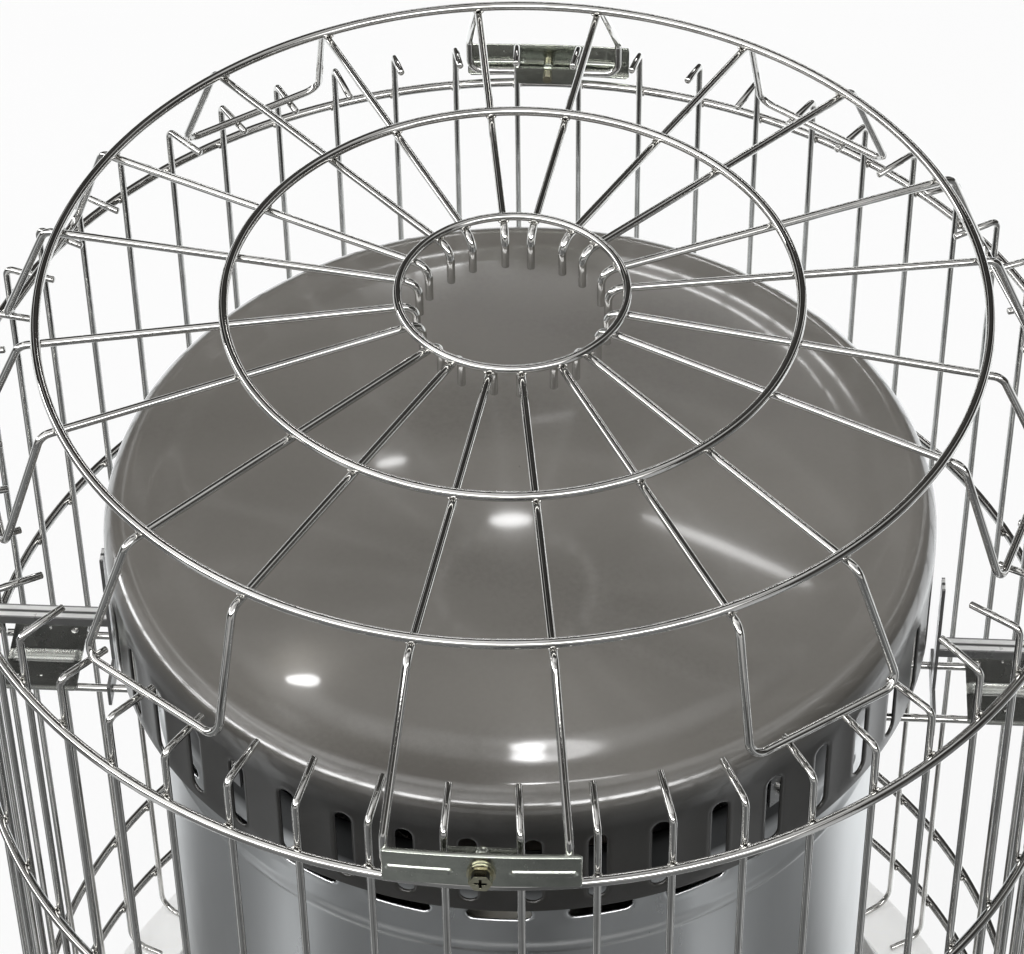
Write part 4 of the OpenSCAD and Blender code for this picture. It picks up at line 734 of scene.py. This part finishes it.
foot = [(CASING_R + out, CASING_FOOT + up) for out, up in ((1.2, 0.0), (1.2, 4.4), (0.9, 4.8), (0.0, 5.1))]
rows = (150, OPENING_LOW, 210, 236, 262, OPENING_HIGH, 320, 350, BEAD_Z - BEAD_HALF - 1)
bead = [(CASING_R + BEAD_OUT / 2 * (1 + math.cos(math.radians(a))), BEAD_Z + BEAD_HALF * a / 180)
        for a in range(-180, 181, 20)]
walls = foot + [(CASING_R, z) for z in rows] + bead
walls += [(CASING_R, BEAD_Z + BEAD_HALF + 1), (CASING_R, V_Z - V_HALF)]
rim = [(CASING_R, V_Z + V_HALF), (CASING_R, CASING_TOP - 17), (CASING_R, CASING_TOP - 1),
       (CASING_R - 0.2, CASING_TOP - 0.2), (CASING_R - 0.6, CASING_TOP)]
vents = slotted_band(CASING_R, V_Z - V_HALF, V_Z + V_HALF, V_SLOTS, 0.0, V_W, V_LEN, V_Z, False, ACROSS)
sheet_piece("casing_drum", [drum(walls), vents, drum(rim)], "mirror", "mirror_steel", "casing", CASING_T)


# Clamps and stays

def pressed(verts, faces, at, w, h, field, nx, ny):
    """A sheet w by h whose face is pressed out by field(x, y). at() gives the place of x, y and depth."""
    base = len(verts)
    for depth in (0.0, -SHEET_T):
        for j in range(ny + 1):
            for i in range(nx + 1):
                x, y = -w / 2 + w * i / nx, -h / 2 + h * j / ny
                cx, cy = max(abs(x) - w / 2 + CORNER, 0), max(abs(y) - h / 2 + CORNER, 0)
                d = math.hypot(cx, cy)
                if d > CORNER:
                    x -= math.copysign(cx * (1 - CORNER / d), x)
                    y -= math.copysign(cy * (1 - CORNER / d), y)
                verts.append(at(x, y, depth + field(x, y)))
    n, m = (nx + 1) * (ny + 1), nx + 1
    for j in range(ny):
        for i in range(nx):
            a = base + j * m + i
            faces.append((a, a + 1, a + 1 + m, a + m))
            faces.append((a + n, a + n + m, a + n + 1 + m, a + n + 1))
    edge = list(range(m)) + [j * m + nx for j in range(1, ny + 1)]
    edge += [ny * m + i for i in range(nx - 1, -1, -1)] + [j * m for j in range(ny - 1, 0, -1)]
    for k in range(len(edge)):
        a, b = base + edge[k], base + edge[(k + 1) % len(edge)]
        faces.append((a, a + n, b + n, b))


def clamp_field(x, y):
    """Pressed ribs, and edges that roll back a little."""
    beside = abs(x) - RIB_X
    d = math.hypot(beside - max(-RIB_HALF, min(RIB_HALF, beside)), y - RIB_Y)
    rib = RIB_OUT * math.sqrt(max(0.0, 1 - (d / RIB_R) ** 2))
    edge = min(CLAMP_L / 2 - abs(x), CLAMP_H / 2 - abs(y))
    t = max(0.0, 1 - max(edge, 0.0) / CLAMP_ROLL)
    return rib - CLAMP_ROLL * (1 - math.sqrt(1 - t * t))


def stay_field(x, y):
    """A raised band along the middle of a stay plate."""
    end = max(0.0, min(1.0, (BAND_HALF - abs(x)) / BAND_END))
    return BAND_OUT * end * math.sqrt(max(0.0, 1 - (y / BAND_R) ** 2))


def clamp_at(s):
    def at(x, y, d):
        return s * x, -s * (CLAMP_Y + SHEET_T + d - CLAMP_SAG * (2 * x / CLAMP_L) ** 2), CLAMP_Z + y
    return at


def stay_at(s):
    def at(x, y, d):
        return s * (STAY_X + x), s * y, STAY_Z + d
    return at


clamp_v, clamp_f, stay_v, stay_f, dimple_v, dimple_f = [], [], [], [], [], []
for s in (1, -1):
    pressed(clamp_v, clamp_f, clamp_at(s), CLAMP_L, CLAMP_H, clamp_field, 150, 100)
    pressed(stay_v, stay_f, stay_at(s), STAY_L, STAY_W, stay_field, 33, 60)
    for y in (-DIMPLE_Y, DIMPLE_Y):
        for x, across, r in DIMPLES:
            at = (s * (STAY_X + x), y + across, STAY_Z + 0.1)
            blob(dimple_v, dimple_f, at, (0, 0, 1), (r, r, 0.7))
piece("clamp_outer_sheets", clamp_v, clamp_f, "clamp", "zinc_plate", ["clamp_plates"], smooth=40)
piece("stay_sheets", stay_v, stay_f, "stay", "zinc_plate", ["stay_plates"], smooth=40)
piece("stay_dimples", dimple_v, dimple_f, "chrome", "zinc_plate", smooth=80)

# Solids whose edges are softened, with the width of the edge
for node, width in (("control_housing", 1.2), ("battery_case", 0.8), ("battery_lid", 0.8),
                    ("window_frame", 0.5), ("clamp_inner_plates", 0.25), ("clamp_screws", 0.4),
                    ("stay_frames", 0.3)):
    weld = nodes[node].modifiers.new("weld", "WELD")
    weld.merge_threshold = WELD_MERGE
    bevel = nodes[node].modifiers.new("edge", "BEVEL")
    bevel.width = width * MM
    bevel.segments = 2
    bevel.limit_method = "ANGLE"
    bevel.angle_limit = math.radians(SMOOTH)
    bevel.harden_normals = True


# Camera, from the hoops in the photograph

YAW, PITCH, ROLL = -0.06819, 0.77534, -0.01386
CAMERA_AT = Vector((0.07198, -1.10014, 1.56032))
# Width and middle of the picture and the lens, all in picture points, and the sensor in millimetres
PICTURE_W, MIDDLE_X, MIDDLE_Y, LENS, SENSOR_W = 1024, 512, 477, 3660.7, 36
fwd = Vector((math.sin(YAW) * math.cos(PITCH), math.cos(YAW) * math.cos(PITCH), -math.sin(PITCH)))
right = Vector((math.cos(YAW), -math.sin(YAW), 0))
up = right.cross(fwd)
right, up = (right * math.cos(ROLL) + up * math.sin(ROLL), up * math.cos(ROLL) - right * math.sin(ROLL))
cam = bpy.data.objects.new("camera", bpy.data.cameras.new("camera"))
bpy.context.scene.collection.objects.link(cam)
cam.matrix_world = Matrix((
    (right.x, up.x, -fwd.x, CAMERA_AT.x), (right.y, up.y, -fwd.y, CAMERA_AT.y),
    (right.z, up.z, -fwd.z, CAMERA_AT.z), (0, 0, 0, 1)))
cam.data.sensor_fit = "HORIZONTAL"
cam.data.sensor_width = SENSOR_W
cam.data.lens = LENS * SENSOR_W / PICTURE_W
cam.data.clip_start, cam.data.clip_end = 0.05, 60
bpy.context.scene.camera = cam


# Floor, surroundings and lamps

WHITE = (1, 1, 1, 1)
FLOOR_HALF, FLOOR_Z = 8, -0.0004
# Strips of light, and one of shade, on the mirrored floor, in half turns from the front:
# middle, half width, softness and gain
FLOOR_STRIPS = ((1.0, 0.4, 0.1, 1.3), (-1.0, 0.33, 0.1, 1.1), (-0.34, 0.03, 0.02, 0.6), (0.3, 0.03, 0.02, 0.5),
                (0.04, 0.03, 0.03, -0.12))


def floor():
    """White for the camera with the shadow on it. Metal mirrors a darker floor with strips of light."""
    me = bpy.data.meshes.new("floor")
    s = FLOOR_HALF
    me.from_pydata([(-s, -s, 0), (s, -s, 0), (s, s, 0), (-s, s, 0)], [], [(0, 1, 2, 3)])
    ob = bpy.data.objects.new("floor", me)
    ob.location.z = FLOOR_Z
    bpy.context.scene.collection.objects.link(ob)
    m, nt, b = new_material("white_floor")
    sh = Nodes(nt)
    b.inputs["Roughness"].default_value = 0.8
    nt.links.new(ramp(nt, noise(nt, 3), grey([(0.3, 0.8), (0.7, 0.84)])), b.inputs["Base Color"])
    at = axes(nt, "Object")
    # 0 in front, 0.5 at the right, -0.5 at the left, 1 and -1 behind
    turn = sh.sum("DIVIDE", sh.sum("ARCTAN2", at["X"], sh.times(at["Y"], -1.0)), math.pi)
    tone = sh.plus(sh.times(noise(nt, 6, 3, 0.5), 0.2), 0.17)
    for middle, width, soft, gain in FLOOR_STRIPS:
        tone = sh.plus(tone, sh.times(sh.near(turn, middle, width, soft), gain))
    plain, glossy = ray_kinds(nt)
    mirrored = sh.glow((0.97, 0.99, 1.0, 1), sh.times(tone, sh.plus(sh.times(glossy, 0.9), 0.1)))
    white = sh.mix(0.8, b.outputs["BSDF"], sh.glow(WHITE, 1.0))
    nt.links.new(sh.mix(plain, mirrored, white), nt.nodes["Material Output"].inputs["Surface"])
    me.materials.append(m)


def world():
    """White for the camera. Metal mirrors a dark room with boxes of light. Dull faces lie under a soft sky."""
    w = bpy.data.worlds.new("studio")
    bpy.context.scene.world = w
    w.use_nodes = True
    nt = w.node_tree
    nt.nodes.clear()
    sh = Nodes(nt)
    way = axes(nt, "Generated")
    x, y, z = way["X"], way["Y"], way["Z"]
    room = ramp(nt, noise(nt, 2.6, 2, coords="Generated"), [
        (0.35, (0.03, 0.029, 0.027)), (0.5, (0.06, 0.058, 0.055)), (0.65, (0.13, 0.125, 0.118))])
    # Light that the wires mirror: a long box overhead, narrow ones at the left and right, a low one in front
    over = sh.times(sh.near(x, 0.0, 0.55, 0.08), sh.near(y, 0.18, 0.15, 0.14),
                    sh.sum("GREATER_THAN", z, 0.2), 0.75)
    left = sh.times(sh.near(x, -0.5, 0.035, 0.02), sh.near(z, 0.6, 0.3, 0.1), 0.8)
    at_right = sh.times(sh.near(x, 0.66, 0.03, 0.02), sh.near(z, 0.4, 0.25, 0.1))
    low = sh.times(sh.near(z, 0.14, 0.12, 0.06), sh.sum("LESS_THAN", y, -0.5), 0.6)
    # Normal of the face that mirrors this direction to the camera: its part upward and its part to the back
    back, tall = sh.sum("SUBTRACT", y, fwd.y), sh.sum("SUBTRACT", z, fwd.z)
    whole = sh.sum("SQRT", sh.plus(sh.times(x, x), sh.times(back, back), sh.times(tall, tall)))
    upward, backward = sh.sum("DIVIDE", tall, whole), sh.sum("DIVIDE", back, whole)
    # Light on the plate's rim in front, and a thin arc on the back of its step
    rim = sh.plus(sh.near(upward, 0.655, 0.03, 0.012), sh.times(sh.near(upward, 0.75, 0.05, 0.1), 0.07))
    rim = sh.times(rim, sh.near(x, -0.2, 0.7, 0.2), sh.sum("LESS_THAN", backward, -0.2), 11.0)
    arc = sh.times(sh.near(upward, 0.9812, 0.0018, 0.0012), sh.near(x, 0.1, 0.22, 0.04),
                   sh.sum("GREATER_THAN", backward, 0.08), 9.0)
    # The side boxes are not for the plate's top, whose faces lie almost flat
    sides = sh.times(sh.plus(left, at_right), sh.sum("LESS_THAN", upward, 0.972))
    mirrored = mix_color(nt, "ADD", 1.0, room, sh.plus(over, sides, low, rim, arc))
    sky = ramp(nt, z, grey([(0.0, 0.012), (0.25, 0.08), (0.5, 0.22), (0.75, 0.52), (1.0, 1.0)]))
    shown = []
    for color, strength in ((sky, 2.0), (mirrored, 1.0), (WHITE, 1.0)):
        bg = nt.nodes.new("ShaderNodeBackground")
        bg.inputs["Strength"].default_value = strength
        feed(nt, bg.inputs["Color"], color)
        shown.append(bg.outputs[0])
    plain, glossy = ray_kinds(nt)
    out = nt.nodes.new("ShaderNodeOutputWorld")
    nt.links.new(sh.mix(plain, sh.mix(glossy, shown[0], shown[1]), shown[2]), out.inputs["Surface"])


def lamp(name, at, toward, size, watts, size_y=None, turn_z=0.0):
    data = bpy.data.lights.new(name, "AREA")
    data.shape = "ELLIPSE"
    data.size = size
    data.size_y = size_y or size
    data.energy = watts
    ob = bpy.data.objects.new(name, data)
    ob.location = at
    q = (Vector(toward) - Vector(at)).to_track_quat("-Z", "Y")
    ob.rotation_euler = (q.to_matrix() @ Matrix.Rotation(turn_z, 3, "Z")).to_euler()
    bpy.context.scene.collection.objects.link(ob)


def reflected(px, py, away):
    """The place of a lamp that the top plate mirrors at a point of the picture, and the plate's point."""
    ray = (fwd + right * ((px - MIDDLE_X) / LENS) + up * ((MIDDLE_Y - py) / LENS)).normalized()
    height = PLATE_Z * MM
    for _ in range(7):
        p = CAMERA_AT + ray * ((CAMERA_AT.z - height) / -ray.z)
        r = math.hypot(p.x, p.y)
        height = dome_z(r / MM) * MM
    fall = (dome_z(r / MM - 0.5) - dome_z(r / MM + 0.5)) / r
    n = Vector((p.x * fall, p.y * fall, 1)).normalized()
    return p + (ray - 2 * ray.dot(n) * n) * away, p


# Spots of light that the plate mirrors. Their lamps hang below the wires. Each spot: its place x, y and its
# width and height in picture points, strength, tilt in radians, distance of the lamp in metres
SPOTS = (
    (511, 520, 46, 15, 0.5, 0.0, 0.06), (302, 681, 38, 15, 0.5, -0.33, 0.02),
    (528, 747, 40, 13, 0.8, 0.0, 0.06), (572, 745, 116, 16, 0.25, 0.06, 0.06),
    (391, 462, 34, 9, 0.45, 0.0, 0.06), (362, 458, 52, 6, 0.1, 0.0, 0.06),
    (548, 418, 60, 8, 0.05, 0.2, 0.06), (728, 549, 200, 11, 0.28, -0.12, 0.06),
)
SPOT_POWER = 18 * math.pi

floor()
world()
for k, (px, py, w, h, gain, tilt, away) in enumerate(SPOTS):
    at, p = reflected(px, py, away)
    scale = ((p - CAMERA_AT).length + away) / LENS
    size, size_y = w * scale, h * scale
    lamp("spot_%d" % k, at, p, size, SPOT_POWER * gain * size * size_y, size_y, tilt)
# One wide, soft lamp from the upper left for the whole heater
lamp("key", (-0.9, -0.5, 2.4), (0, 0, 0.4), 2.4, 9)

bpy.context.scene.view_settings.view_transform = "Standard"
